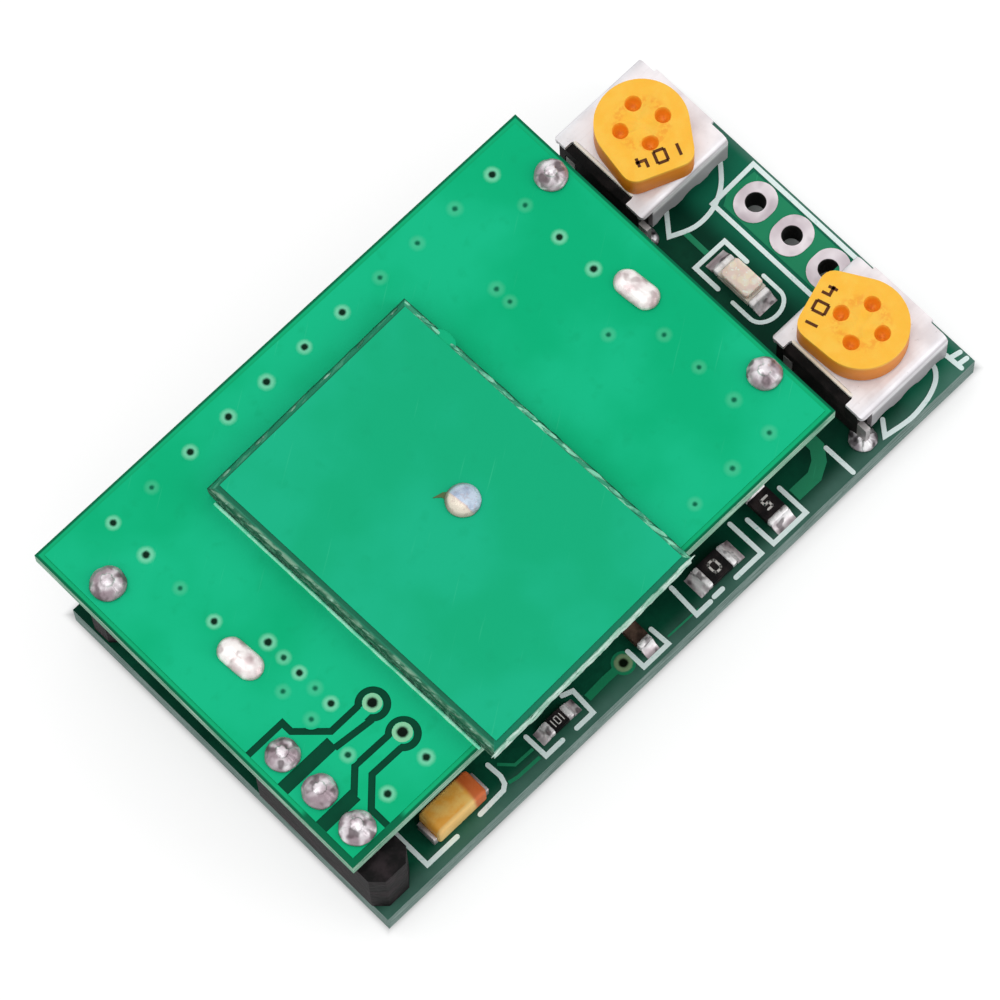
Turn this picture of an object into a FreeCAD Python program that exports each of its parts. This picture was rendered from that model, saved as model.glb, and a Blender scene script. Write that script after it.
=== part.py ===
import FreeCAD, Part
import math
import os

# Microwave radar sensor module: an antenna board carried above a main board by pins,
# with two trimmers, an indicator lamp and small parts on the main board.
# All sizes in millimetres. Z is up, X runs along the boards towards the trimmers,
# Y runs across them. The origin is at the middle of the footprint, at the lowest point.

# Main board
main_length = 40.4
main_width = 22.1
main_thickness = 1.6
joint_height = 0.9
header_pitch = 2.54
header_hole_radius = 0.55
header_from_end = 1.63
header_row_x = main_length / 2 - header_from_end
header_pad_long = 2.35
header_pad_wide = 2.0
header_pad_corner = 0.6
pad_thickness = 0.05

# Antenna board
antenna_shorter = 8.0
antenna_narrower = 0.1
antenna_length = main_length - antenna_shorter
antenna_width = main_width - antenna_narrower
antenna_thickness = 0.9
antenna_over_x = 0.3
antenna_over_y = 1.63
board_gap = 4.6
copper_thickness = 0.05
copper_inset = 0.35
track_via_radius = 0.2
track_via_from_end = 6.3
track_via_from_side = [5.14, 3.06]
track_gap = 0.35
wide_track_gap = 0.72
track_width = 0.55
track_ring_radius = 0.5
track_ring_gap = 0.38

# Radiating plate on the antenna board
plate_length = 13.6
plate_width = 19.3
plate_thickness = 1.0
plate_turn = 1.3
plate_x = -1.2
plate_y = -2.15
patch_length = 12.7
patch_width = 18.5
feed_x = 0.05
feed_y = -1.87
feed_pin_radius = 0.4
feed_dome_radius = 0.85
feed_dome_height = 0.55

# Pins between the boards
pin_size = 0.64
pin_hole_clearance = 0.06
link_from_end = 1.5
link_from_side = 3.78
link_row_x = -antenna_length / 2 + link_from_end
link_row_y = -antenna_width / 2 + link_from_side
link_block_width = 2.5
link_block_low = 5.08
link_block_high = 3.92
link_block_chamfer = 0.6
block_top_gap = 0.3
support_block_size = 2.2
support_block_height = 2.5
support_from_end = 1.08
support_from_side = 3.6
support_low_from_side = 3.73
support_spots = [
    (antenna_length / 2 - support_from_end, antenna_width / 2 - support_from_side),
    (antenna_length / 2 - support_from_end, -antenna_width / 2 + support_low_from_side),
    (link_row_x, antenna_width / 2 - support_from_side),
]
dome_radius = 0.85
dome_height = 0.75
dome_waist = 0.72
dome_tip = 0.25
dome_rise = 0.6
joint_radius = 0.85
joint_tip = 0.42
joint_sides = 10

# Screening can under the antenna board
can_length = antenna_length - 5.5
can_width = antenna_width - 7.0
can_height = 2.6
can_wall = 0.25
can_x = 0.52
can_y = 0.2
tab_width = 1.8
tab_slot_clearance = 0.1
oval_length = 2.6
oval_width = 1.45
oval_height = 0.45
oval_slope = 0.3

# Trimmers
trimmer_spots = {
    "upper": (main_length / 2 - 4.1, main_width / 2 - 2.95),
    "lower": (main_length / 2 - 4.0, -main_width / 2 + 4.12),
}
trimmer_turn = {"upper": 247.0, "lower": 107.0}
frame_length = 6.2
frame_width = 6.25
frame_top = 3.3
frame_sheet = 0.3
frame_bend = 0.45
frame_wall_drop = 2.4
frame_notch_deep = 0.65
frame_notch_from = -2.0
frame_notch_to = 2.25
frame_step = 0.18
frame_corner_cut = 0.75
frame_corner_radius = 0.3
base_length = frame_length - 0.2
base_side_clearance = 0.05
base_from_board = 0.25
base_foot_inset = 1.0
rotor_radius = 2.38
rotor_thickness = 1.6
rotor_lift = 0.1
rotor_tab_reach = 2.85
rotor_tab_width = 3.5
rotor_tip_radius = 0.45
rotor_edge = 0.2
shaft_radius = 1.1
shaft_clearance = 0.05
shaft_depth = 1.6
cross_reach = 1.5
cross_width = 0.8
cross_depth = 0.35
pocket_reach = 1.2
pocket_size = 0.68
pocket_depth = 0.8
boss_radius = 0.5
leg_width = 0.6
leg_thickness = 0.3
leg_hole_clearance = 0.06
leg_front_x = -frame_length / 2 + 0.25
leg_front_low_y = -frame_width / 2 + 0.05
leg_front_pitch = 5.08
leg_rear_x = frame_length / 2 + 0.05
leg_rear_y = -0.66
leg_rise = 1.9
leg_dome_radius = 0.68
leg_dome_height = 0.5
leg_joint_height = 0.65
solder_base_gap = 0.04

# Indicator lamp
lamp_x = main_length / 2 - 5.2
lamp_y = 0.0
lamp_length = 2.8
lamp_width = 1.25
lamp_base_height = 0.45
lamp_lens_length = 1.9
lamp_lens_height = 0.4

# Chip parts: name, x, distance from the low edge, turned across the board, length, width, height
chip_end = 0.35
chip_wrap = 0.04
chip_fillet = 0.5
chip_parts = [
    ("resistor_end", 7.51, 1.95, True, 2.0, 1.25, 0.5),
    ("resistor_bridge", 3.42, 1.45, False, 2.0, 1.25, 0.5),
    ("capacitor_small", -1.72, 1.75, True, 1.6, 0.8, 0.6),
    ("resistor_small", -7.5, 1.3, False, 1.6, 0.8, 0.45),
]

# Tantalum capacitor
tantalum_x = -main_length / 2 + 6.01
tantalum_y = -main_width / 2 + 1.67
tantalum_length = 3.2
tantalum_width = 1.5
tantalum_height = 1.6
tantalum_chamfer = 0.2
tantalum_lead_width = 1.2
tantalum_lead_height = 0.75
tantalum_lead_out = 0.25

# Signal chip between the boards
chip_x = -2.5
chip_y = 1.5
chip_length = 9.9
chip_width = 3.9
chip_height = 1.4
chip_stand = 0.15
lead_count = 8
lead_pitch = 1.27
lead_width = 0.4
lead_thickness = 0.2
lead_span = 6.0
lead_shoulder = 0.35
lead_fall = 0.2

# Printed lines
mark_width = 0.22
mark_thickness = 0.03
lamp_mark_radius = 1.12
lamp_mark_depth = 0.7
lamp_mark_gap = 0.1
trimmer_bows = {
    "upper": [(2.9, 0.5), (2.75, 0.2), (2.3, -0.3), (1.7, -0.62), (0.93, -0.9), (0.2, -1.12), (-0.5, -1.26),
              (-1.2, -1.2), (-1.9, -0.8), (-1.4, 0.3)],
    "lower": [(2.4, 0.5), (2.3, 0.1), (1.9, -0.33), (1.3, -0.62), (0.6, -0.79), (-0.5, -0.85), (-2.05, -0.66),
              (-1.5, 0.3)],
}

# Places worked out from the sizes above
overall_length = main_length + antenna_over_x
overall_width = main_width + antenna_over_y
main_x = overall_length / 2 - main_length / 2
main_y = -overall_width / 2 + main_width / 2
antenna_x = -overall_length / 2 + antenna_length / 2
antenna_y = overall_width / 2 - antenna_width / 2
main_under = joint_height
main_top = main_under + main_thickness
antenna_under = main_top + board_gap
antenna_top = antenna_under + antenna_thickness
copper_top = antenna_top + copper_thickness
plate_under = copper_top
plate_top = plate_under + plate_thickness
pin_hole_size = pin_size + 2 * pin_hole_clearance
base_width = frame_width - 2 * frame_sheet - 2 * base_side_clearance


def vec(x, y, z):
    """A point or direction."""
    return FreeCAD.Vector(x, y, z)


def block(x, y, z, length, width, height):
    """A box whose base is centred on x, y at height z."""
    return Part.makeBox(length, width, height, vec(x - length / 2, y - width / 2, z))


def rod(x, y, z, radius, height):
    """An upright cylinder standing at height z."""
    return Part.makeCylinder(radius, height, vec(x, y, z))


def ring_of_points(x, y, z, radius):
    """The corners of a level many-sided ring round x, y at height z."""
    step = 2 * math.pi / joint_sides
    return [vec(x + radius * math.cos(i * step), y + radius * math.sin(i * step), z)
            for i in range(joint_sides)]


def flat_face(corners):
    """A flat face with these corners."""
    return Part.Face(Part.makePolygon(corners + corners[:1]))


def taper(x, y, z, low_radius, high_radius, height):
    """A many-sided cone from one radius at height z to another, up or down by the height."""
    low = ring_of_points(x, y, z, low_radius)
    high = ring_of_points(x, y, z + height, high_radius)
    faces = [flat_face(low), flat_face(high)]
    for i in range(joint_sides):
        faces.append(flat_face([low[i - 1], low[i], high[i], high[i - 1]]))
    body = Part.makeSolid(Part.makeShell(faces))
    if body.Volume < 0:
        body.reverse()
    return body


def dome(x, y, z, radius, height):
    """A solder joint seen as a low dome: two tapers on a flat base at height z."""
    waist = dome_waist * radius
    rise = dome_rise * height
    foot = taper(x, y, z, radius, waist, rise)
    return foot.fuse(taper(x, y, z + rise, waist, dome_tip * radius, height - rise))


def hanging_joint(x, y, z, radius, height):
    """A solder joint under a board: one taper that narrows downwards from height z."""
    return taper(x, y, z, radius, joint_tip * radius, -height)


def polygon(points, z, height):
    """An upright prism over a closed run of x, y points."""
    wire = Part.makePolygon([vec(px, py, z) for px, py in points + points[:1]])
    return Part.Face(wire).extrude(vec(0, 0, height))


def turned(shape, x, y, angle):
    """The shape turned about the upright line through x, y."""
    copy = shape.copy()
    copy.rotate(vec(x, y, 0), vec(0, 0, 1), angle)
    return copy


def cut_all(shape, tools):
    """The shape with every tool taken out of it."""
    return shape.cut(Part.makeCompound(tools)) if tools else shape


def link_pins():
    """Spots of the three pins that link the boards."""
    return [(antenna_x + link_row_x, antenna_y + link_row_y + (1 - i) * header_pitch) for i in range(3)]


def support_pins():
    """Spots of the single corner pins."""
    return [(antenna_x + x, antenna_y + y) for x, y in support_spots]


def header_holes():
    """Spots of the three open holes at the end of the main board."""
    return [(main_x + header_row_x, main_y + (1 - i) * header_pitch) for i in range(3)]


def trimmer_legs():
    """Spots of the trimmer legs: x, y and the side of the trimmer they stand on."""
    legs = []
    for x, y in trimmer_spots.values():
        legs.append((main_x + x + leg_front_x, main_y + y + leg_front_low_y, -1))
        legs.append((main_x + x + leg_front_x, main_y + y + leg_front_low_y + leg_front_pitch, -1))
        legs.append((main_x + x + leg_rear_x, main_y + y + leg_rear_y, 1))
    return legs


def ringed_vias():
    """Spots of the two plated holes that end the signal tracks on the antenna board."""
    x = antenna_x - antenna_length / 2 + track_via_from_end
    return [(x, antenna_y - antenna_width / 2 + side) for side in track_via_from_side]


def main_board():
    """The lower board with its pin, leg and header holes."""
    board = block(main_x, main_y, main_under, main_length, main_width, main_thickness)
    tools = [rod(x, y, main_under - 1, header_hole_radius, main_thickness + 2) for x, y in header_holes()]
    for x, y in link_pins() + support_pins():
        tools.append(block(x, y, main_under - 1, pin_hole_size, pin_hole_size, main_thickness + 2))
    for x, y, side in trimmer_legs():
        tools.append(block(x, y, main_under - 1, leg_thickness + 2 * leg_hole_clearance,
                           leg_width + 2 * leg_hole_clearance, main_thickness + 2))
    return cut_all(board, tools)


def header_pads():
    """Tinned oblong rings round the header holes, on the upper face."""
    pads = []
    for x, y in header_holes():
        pad = block(x, y, main_top, header_pad_long, header_pad_wide, pad_thickness)
        corners = [e for e in pad.Edges if abs(e.Vertexes[0].Z - e.Vertexes[-1].Z) > pad_thickness / 2]
        pad = pad.makeChamfer(header_pad_corner, corners)
        pads.append(pad.cut(rod(x, y, main_top - 1, header_hole_radius, 3)))
    return Part.makeCompound(pads)


def slot(x, y, z, length, width, height):
    """A rounded upright bar lying across the board."""
    straight = length - width
    bar = block(x, y, z, width, straight, height)
    for way in (-1, 1):
        bar = bar.fuse(rod(x, y + way * straight / 2, z, width / 2, height))
    return bar.removeSplitter()


def can_tabs():
    """Spots of the two can tabs that come up through the antenna board."""
    reach = can_length / 2 - can_wall / 2
    return [(antenna_x + can_x + way * reach, antenna_y + can_y) for way in (1, -1)]


def antenna_holes(z, height):
    """Tools for the holes through the antenna board."""
    tools = [rod(x, y, z, track_via_radius, height) for x, y in ringed_vias()]
    for x, y in link_pins() + support_pins():
        tools.append(block(x, y, z, pin_hole_size, pin_hole_size, height))
    for x, y in can_tabs():
        tools.append(block(x, y, z, can_wall + 2 * tab_slot_clearance,
                           tab_width + 2 * tab_slot_clearance, height))
    tools.append(rod(antenna_x + feed_x, antenna_y + feed_y, z, feed_pin_radius + pin_hole_clearance, height))
    return tools


def antenna_board():
    """The upper board."""
    board = block(antenna_x, antenna_y, antenna_under, antenna_length, antenna_width, antenna_thickness)
    return cut_all(board, antenna_holes(antenna_under - 1, antenna_thickness + 2))


def strip(points, width, z, height):
    """A flat band of even width that follows x, y points, with mitred corners."""
    left = []
    right = []
    last = len(points) - 1
    for i, (x, y) in enumerate(points):
        before = points[i - 1] if i > 0 else (2 * x - points[1][0], 2 * y - points[1][1])
        after = points[i + 1] if i < last else (2 * x - before[0], 2 * y - before[1])
        way_in = math.atan2(y - before[1], x - before[0])
        way_out = math.atan2(after[1] - y, after[0] - x)
        bend = (way_out - way_in + math.pi) % (2 * math.pi) - math.pi
        side = way_in + bend / 2
        reach = width / 2 / math.cos(bend / 2)
        left.append((x - reach * math.sin(side), y + reach * math.cos(side)))
        right.append((x + reach * math.sin(side), y - reach * math.cos(side)))
    return polygon(left + right[::-1], z, height)


def from_antenna_corner(points):
    """Points given from the far low corner of the antenna board moved to the shared origin."""
    corner_x = antenna_x - antenna_length / 2
    corner_y = antenna_y - antenna_width / 2
    return [(corner_x + x, corner_y + y) for x, y in points]


def track_gaps(z, height):
    """Bare bands beside the two signal tracks and rings round their vias."""
    narrow = [
        [(-0.5, 7.5), (2.6, 7.5), (2.6, 6.9), (3.95, 5.56), (5.75, 5.56)],
        [(5.75, 4.6), (3.5, 4.85)],
        [(5.75, 3.5), (3.57, 3.54), (2.5, 2.5)],
        [(5.75, 2.63), (3.85, 2.66), (2.62, 1.45), (2.62, -0.5)],
    ]
    wide = [
        [(3.6, 5.12), (-0.5, 5.12)],
        [(2.6, 2.5), (-0.5, 2.5)],
    ]
    tools = [strip(from_antenna_corner(run), track_gap, z, height) for run in narrow]
    tools += [strip(from_antenna_corner(run), wide_track_gap, z, height) for run in wide]
    for x, y in ringed_vias():
        outer = rod(x, y, z, track_ring_radius + track_ring_gap, height)
        inner = rod(x, y, z - 1, track_ring_radius, height + 2)
        throat = block(x - 0.6, y, z - 1, 1.2, track_width, height + 2)
        tools.append(outer.cut(inner).cut(throat))
    return tools


def antenna_copper():
    """The copper layer that covers the top of the antenna board, with its bare bands."""
    sheet = block(antenna_x, antenna_y, antenna_top, antenna_length - 2 * copper_inset,
                  antenna_width - 2 * copper_inset, copper_thickness)
    sheet = cut_all(sheet, antenna_holes(antenna_top - 1, 3))
    return cut_all(sheet, track_gaps(antenna_top - 1, 3))


def plate():
    """The raised board plate that carries the patch."""
    x = antenna_x + plate_x
    y = antenna_y + plate_y
    body = turned(block(x, y, plate_under, plate_length, plate_width, plate_thickness), x, y, plate_turn)
    hole = rod(antenna_x + feed_x, antenna_y + feed_y, plate_under - 1,
               feed_pin_radius + pin_hole_clearance, 9)
    return body.cut(hole)


def patch():
    """The copper patch on top of the plate."""
    x = antenna_x + plate_x + 0.1
    y = antenna_y + plate_y
    body = turned(block(x, y, plate_top, patch_length, patch_width, copper_thickness), x, y, plate_turn)
    hole = rod(antenna_x + feed_x, antenna_y + feed_y, plate_top - 1, feed_pin_radius + pin_hole_clearance, 9)
    return body.cut(hole)


def feed_pin():
    """The pin that feeds the patch, up from the underside of the antenna board."""
    top = plate_top + copper_thickness
    low = antenna_under - 0.4
    return rod(antenna_x + feed_x, antenna_y + feed_y, low, feed_pin_radius, top - low)


def feed_solder():
    """The solder dome over the feed pin."""
    return dome(antenna_x + feed_x, antenna_y + feed_y, plate_top + copper_thickness,
                feed_dome_radius, feed_dome_height)


def square_pins(spots):
    """Square pins from under the main board to the top of the antenna board."""
    low = main_under
    return Part.makeCompound([block(x, y, low, pin_size, pin_size, copper_top - low) for x, y in spots])


def link_block():
    """The black plastic block the three link pins run through."""
    x = antenna_x + link_row_x
    half = link_block_width / 2
    c = link_block_chamfer
    y0 = antenna_y + link_row_y - link_block_low
    y1 = antenna_y + link_row_y + link_block_high
    points = [(x - half + c, y0), (x + half - c, y0), (x + half, y0 + c), (x + half, y1 - c),
              (x + half - c, y1), (x - half + c, y1), (x - half, y1 - c), (x - half, y0 + c)]
    body = polygon(points, main_top, board_gap - block_top_gap)
    return cut_all(body, [block(px, py, main_top - 1, pin_size, pin_size, board_gap + 2)
                          for px, py in link_pins()])


def support_blocks():
    """The short plastic block on each corner pin."""
    blocks = []
    for x, y in support_pins():
        body = block(x, y, main_top, support_block_size, support_block_size, support_block_height)
        edges = [e for e in body.Edges if abs(e.Vertexes[0].Z - e.Vertexes[-1].Z) > 1]
        body = body.makeChamfer(link_block_chamfer, edges)
        blocks.append(body.cut(block(x, y, main_top - 1, pin_size, pin_size, support_block_height + 2)))
    return Part.makeCompound(blocks)


def top_solder():
    """Round solder domes over the pins on the antenna board."""
    return Part.makeCompound([dome(x, y, copper_top, dome_radius, dome_height)
                              for x, y in link_pins() + support_pins()])


def bottom_solder():
    """Solder joints under the main board, which the module stands on."""
    joints = [hanging_joint(x, y, main_under, joint_radius, joint_height)
              for x, y in link_pins() + support_pins()]
    joints += [hanging_joint(x, y, main_under, leg_dome_radius, leg_joint_height)
               for x, y, side in trimmer_legs()]
    return Part.makeCompound(joints)


def screen_can():
    """The thin metal can under the antenna board, open at the board, with two end tabs."""
    x = antenna_x + can_x
    y = antenna_y + can_y
    outer = block(x, y, antenna_under - can_height, can_length, can_width, can_height)
    inner = block(x, y, antenna_under - can_height + can_wall, can_length - 2 * can_wall,
                  can_width - 2 * can_wall, can_height)
    can = outer.cut(inner)
    for tx, ty in can_tabs():
        can = can.fuse(block(tx, ty, antenna_under - 0.5, can_wall, tab_width,
                             copper_top - antenna_under + 0.5))
    return can.removeSplitter()


def oval_dome(x, y, z):
    """An oblong solder joint lying across the board: a low oblong with its top edge cut away."""
    body = slot(x, y, z, oval_length, oval_width, oval_height)
    rim = [e for e in body.Edges if all(v.Z > z + oval_height / 2 for v in e.Vertexes)]
    return body.makeChamfer(oval_slope, rim)


def can_solder():
    """The two oblong solder joints on the can tabs."""
    return Part.makeCompound([oval_dome(x, y, copper_top) for x, y in can_tabs()])


def bend_profile():
    """The cross-section of the trimmer frame: a flat top with two sides bent down."""
    half = frame_width / 2
    top = frame_top
    low = frame_top - frame_wall_drop
    r = frame_bend
    s = frame_sheet
    q = math.sqrt(0.5)
    outer = [
        Part.LineSegment(vec(0, -half, low), vec(0, -half, top - r)),
        Part.Arc(vec(0, -half, top - r), vec(0, -half + r - r * q, top - r + r * q), vec(0, -half + r, top)),
        Part.LineSegment(vec(0, -half + r, top), vec(0, half - r, top)),
        Part.Arc(vec(0, half - r, top), vec(0, half - r + r * q, top - r + r * q), vec(0, half, top - r)),
        Part.LineSegment(vec(0, half, top - r), vec(0, half, low)),
        Part.LineSegment(vec(0, half, low), vec(0, half - s, low)),
    ]
    i = r - s
    inner = [
        Part.LineSegment(vec(0, half - s, low), vec(0, half - s, top - r)),
        Part.Arc(vec(0, half - s, top - r), vec(0, half - r + i * q, top - r + i * q),
                 vec(0, half - r, top - s)),
        Part.LineSegment(vec(0, half - r, top - s), vec(0, -half + r, top - s)),
        Part.Arc(vec(0, -half + r, top - s), vec(0, -half + r - i * q, top - r + i * q),
                 vec(0, -half + s, top - r)),
        Part.LineSegment(vec(0, -half + s, top - r), vec(0, -half + s, low)),
        Part.LineSegment(vec(0, -half + s, low), vec(0, -half, low)),
    ]
    return Part.Face(Part.Wire([curve.toShape() for curve in outer + inner]))


def trimmer_frame(name):
    """The bent metal frame of one trimmer."""
    sheet = bend_profile().extrude(vec(frame_length, 0, 0))
    sheet.translate(vec(-frame_length / 2, 0, 0))
    notch_middle = (frame_notch_from + frame_notch_to) / 2
    notch_width = frame_notch_to - frame_notch_from
    notch = block(-frame_length / 2, notch_middle, frame_top - 1, 2 * frame_notch_deep, notch_width, 2)
    corner = [e for e in notch.Edges if abs(e.Vertexes[0].Z - e.Vertexes[-1].Z) > 1
              and e.Vertexes[0].X > -frame_length / 2]
    tools = [notch.makeFillet(0.3, corner), rod(0, 0, -1, shaft_radius + shaft_clearance, 9)]
    for y, width in ((frame_width / 2, 2 * 1.1), (-frame_width / 2, 2 * 1.2)):
        tools.append(block(frame_length / 2, y, -1, 2 * frame_step, width, 9))
    low = frame_top - frame_wall_drop
    for i in range(3):
        x = -1.4 + i * 1.75
        tools.append(Part.makeCylinder(0.75, 9, vec(x, -4.5, low - 0.45), vec(0, 1, 0)))
    tools.append(block(-frame_length / 2, 0, -1, 2 * frame_corner_cut, 9, 1 + frame_top - frame_bend))
    r = frame_corner_radius
    for way in (-1, 1):
        x = -frame_length / 2
        y = way * frame_width / 2
        corner = block(x, y, -1, 2 * r, 2 * r, 9)
        tools.append(corner.cut(rod(x + r, y - way * r, -2, r, 12)))
    return place_trimmer(cut_all(sheet, tools), name)


def place_trimmer(shape, name):
    """Move a trimmer piece from its own origin to its spot on the main board."""
    x, y = trimmer_spots[name]
    shape.translate(vec(main_x + x, main_y + y, main_top))
    return shape


def trimmer_base(name):
    """The black moulded base inside one frame."""
    width = base_width
    top = frame_top - frame_sheet
    body = block(0, 0, base_from_board, base_length, width, top - base_from_board)
    edges = [e for e in body.Edges if abs(e.Vertexes[0].Z - e.Vertexes[-1].Z) < 0.01
             and abs(e.Vertexes[0].Z - top) < 0.01]
    body = body.makeChamfer(0.3, edges)
    foot = block(0, 0, 0, base_length - 2 * base_foot_inset, width - 2 * base_foot_inset, base_from_board)
    body = body.fuse(foot).removeSplitter()
    body = body.cut(rod(0, 0, top - shaft_depth + rotor_lift, shaft_radius + shaft_clearance, 9))
    x = leg_front_x
    y = leg_front_low_y + leg_front_pitch
    body = body.cut(block(x, y, -1, 2 * leg_thickness + 0.2, leg_width + 0.1, 1.1 + leg_rise))
    return place_trimmer(body, name)


def trimmer_rotor(name):
    """The turning cap of one trimmer with its pointed side, cross slot and shaft."""
    low = frame_top + rotor_lift
    top = low + rotor_thickness
    disc = rod(0, 0, low, rotor_radius, rotor_thickness)
    corner = math.hypot(rotor_tab_reach, rotor_tab_width / 2)
    touch = math.atan2(rotor_tab_width / 2, rotor_tab_reach) + math.acos(rotor_radius / corner)
    tx = rotor_radius * math.cos(touch)
    ty = rotor_radius * math.sin(touch)
    tab = polygon([(0, 0), (tx, -ty), (rotor_tab_reach, -rotor_tab_width / 2),
                   (rotor_tab_reach, rotor_tab_width / 2), (tx, ty)], low, rotor_thickness)
    tips = [e for e in tab.Edges if abs(e.Vertexes[0].Z - e.Vertexes[-1].Z) > 1
            and e.Vertexes[0].X > rotor_tab_reach - 0.01]
    body = disc.fuse(tab.makeFillet(rotor_tip_radius, tips)).removeSplitter()
    rim = [e for e in body.Edges if all(abs(v.Z - top) < 0.001 for v in e.Vertexes)]
    body = body.makeChamfer(rotor_edge, rim)
    cross = block(0, 0, top - cross_depth, 2 * cross_reach, cross_width, 1)
    cross = cross.fuse(block(0, 0, top - cross_depth, cross_width, 2 * cross_reach, 1))
    cross = cross.cut(rod(0, 0, top - 2, boss_radius, 4))
    pockets = []
    for quarter in range(4):
        angle = quarter * math.pi / 2
        pockets.append(block(pocket_reach * math.cos(angle), pocket_reach * math.sin(angle),
                             top - pocket_depth, pocket_size, pocket_size, 2))
    body = cut_all(body, [cross] + pockets)
    body = body.fuse(rod(0, 0, frame_top - shaft_depth + 0.2, shaft_radius, shaft_depth))
    return place_trimmer(turned(body, 0, 0, trimmer_turn[name]), name)


def leg_pieces(name):
    """The three flat legs of one trimmer, through the main board."""
    legs = []
    for x, y in ((leg_front_x, leg_front_low_y), (leg_front_x, leg_front_low_y + leg_front_pitch)):
        legs.append(block(x, y, -main_thickness, leg_thickness, leg_width, main_thickness + leg_rise))
    legs.append(block(leg_rear_x, leg_rear_y, -main_thickness, leg_thickness, leg_width,
                      main_thickness + leg_rise))
    return place_trimmer(Part.makeCompound(legs), name)


def leg_solder():
    """Solder joints round the front legs on the upper face of the main board, clear of the bases."""
    shade = [block(main_x + x, main_y + y, main_top + base_from_board - solder_base_gap,
                   base_length + 2 * solder_base_gap, base_width + 2 * solder_base_gap, 4)
             for x, y in trimmer_spots.values()]
    joints = []
    for x, y, side in trimmer_legs():
        if side < 0:
            body = taper(x, y, main_top, leg_dome_radius, dome_waist * leg_dome_radius, leg_dome_height)
            joints.append(cut_all(body, shade + [block(x, y, main_top - 1, leg_thickness, leg_width, 4)]))
    return Part.makeCompound(joints)


def lamp_body():
    """The white base of the indicator lamp."""
    return block(main_x + lamp_x, main_y + lamp_y, main_top, lamp_width, lamp_length - 2 * chip_end,
                 lamp_base_height)


def lamp_lens():
    """The clear lens on the lamp base."""
    x = main_x + lamp_x
    y = main_y + lamp_y
    z = main_top + lamp_base_height
    body = block(x, y, z, lamp_width, lamp_lens_length, lamp_lens_height)
    edges = [e for e in body.Edges if abs(e.Vertexes[0].Z - e.Vertexes[-1].Z) > 0.1]
    return body.makeChamfer(0.12, edges)


def lamp_ends():
    """The two plated ends of the lamp."""
    reach = lamp_length / 2 - chip_end / 2
    return Part.makeCompound([block(main_x + lamp_x, main_y + lamp_y + way * reach, main_top, lamp_width,
                                    chip_end, lamp_base_height) for way in (-1, 1)])


def chip_body(x, side, across, length, width, height):
    """The body of a chip part between its plated ends."""
    long = length - 2 * chip_end
    y = side - main_width / 2
    return block(main_x + x, main_y + y, main_top + chip_wrap, width if across else long,
                 long if across else width, height - 2 * chip_wrap)


def chip_ends(x, side, across, length, width, height):
    """The two plated ends of a chip part."""
    ends = []
    y = side - main_width / 2
    for way in (-1, 1):
        reach = way * (length / 2 - chip_end / 2)
        if across:
            ends.append(block(main_x + x, main_y + y + reach, main_top, width, chip_end, height))
        else:
            ends.append(block(main_x + x + reach, main_y + y, main_top, chip_end, width, height))
    return Part.makeCompound(ends)


def fillet_wedge(x, y, angle, width, height):
    """A solder fillet with a hollow slope, rising against the plane x = 0 before it is turned."""
    run = chip_fillet
    rise = 0.85 * height
    dip = vec(0.36 * run, 0, 0.32 * rise)
    slope = Part.Arc(vec(run, 0, 0), dip, vec(0, 0, rise)).toShape()
    floor = Part.makeLine(vec(0, 0, 0), vec(run, 0, 0))
    back = Part.makeLine(vec(0, 0, rise), vec(0, 0, 0))
    body = Part.Face(Part.Wire([floor, slope, back])).extrude(vec(0, width, 0))
    body.translate(vec(0, -width / 2, 0))
    body.rotate(vec(0, 0, 0), vec(0, 0, 1), angle)
    body.translate(vec(main_x + x, main_y + y, main_top))
    return body


def chip_solder():
    """Solder fillets at the ends of the lamp and of every chip part."""
    runs = [(lamp_x, lamp_y + main_width / 2, True, lamp_length, lamp_width, lamp_base_height)]
    runs += [part[1:] for part in chip_parts]
    wedges = []
    for x, side, across, length, width, height in runs:
        y = side - main_width / 2
        for way in (-1, 1):
            if across:
                wedges.append(fillet_wedge(x, y + way * length / 2, 90 * way, width, height))
            else:
                wedges.append(fillet_wedge(x + way * length / 2, y, 0 if way > 0 else 180, width, height))
    return Part.makeCompound(wedges)


def tantalum_body():
    """The moulded body of the tantalum capacitor."""
    body = block(main_x + tantalum_x, main_y + tantalum_y, main_top + 0.1, tantalum_length,
                 tantalum_width, tantalum_height - 0.1)
    top = main_top + tantalum_height
    edges = [e for e in body.Edges if all(abs(v.Z - top) < 0.001 for v in e.Vertexes)
             and abs(e.Vertexes[0].X - e.Vertexes[-1].X) < 0.001]
    return body.makeChamfer(tantalum_chamfer, edges)


def tantalum_leads():
    """The folded end strips of the tantalum capacitor."""
    leads = []
    for way in (-1, 1):
        end = main_x + tantalum_x + way * tantalum_length / 2
        wall = block(end + way * tantalum_lead_out / 2, main_y + tantalum_y, main_top, tantalum_lead_out,
                     tantalum_lead_width, tantalum_lead_height)
        foot = block(end - way * 0.4, main_y + tantalum_y, main_top, 0.8, tantalum_lead_width, 0.1)
        leads.append(wall.fuse(foot).removeSplitter())
    return Part.makeCompound(leads)


def signal_chip():
    """The body of the signal chip."""
    body = block(main_x + chip_x, main_y + chip_y, main_top + chip_stand, chip_length, chip_width,
                 chip_height)
    edges = [e for e in body.Edges if all(abs(v.Z - main_top - chip_stand - chip_height) < 0.001
                                          for v in e.Vertexes)]
    return body.makeChamfer(0.2, edges)


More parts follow.
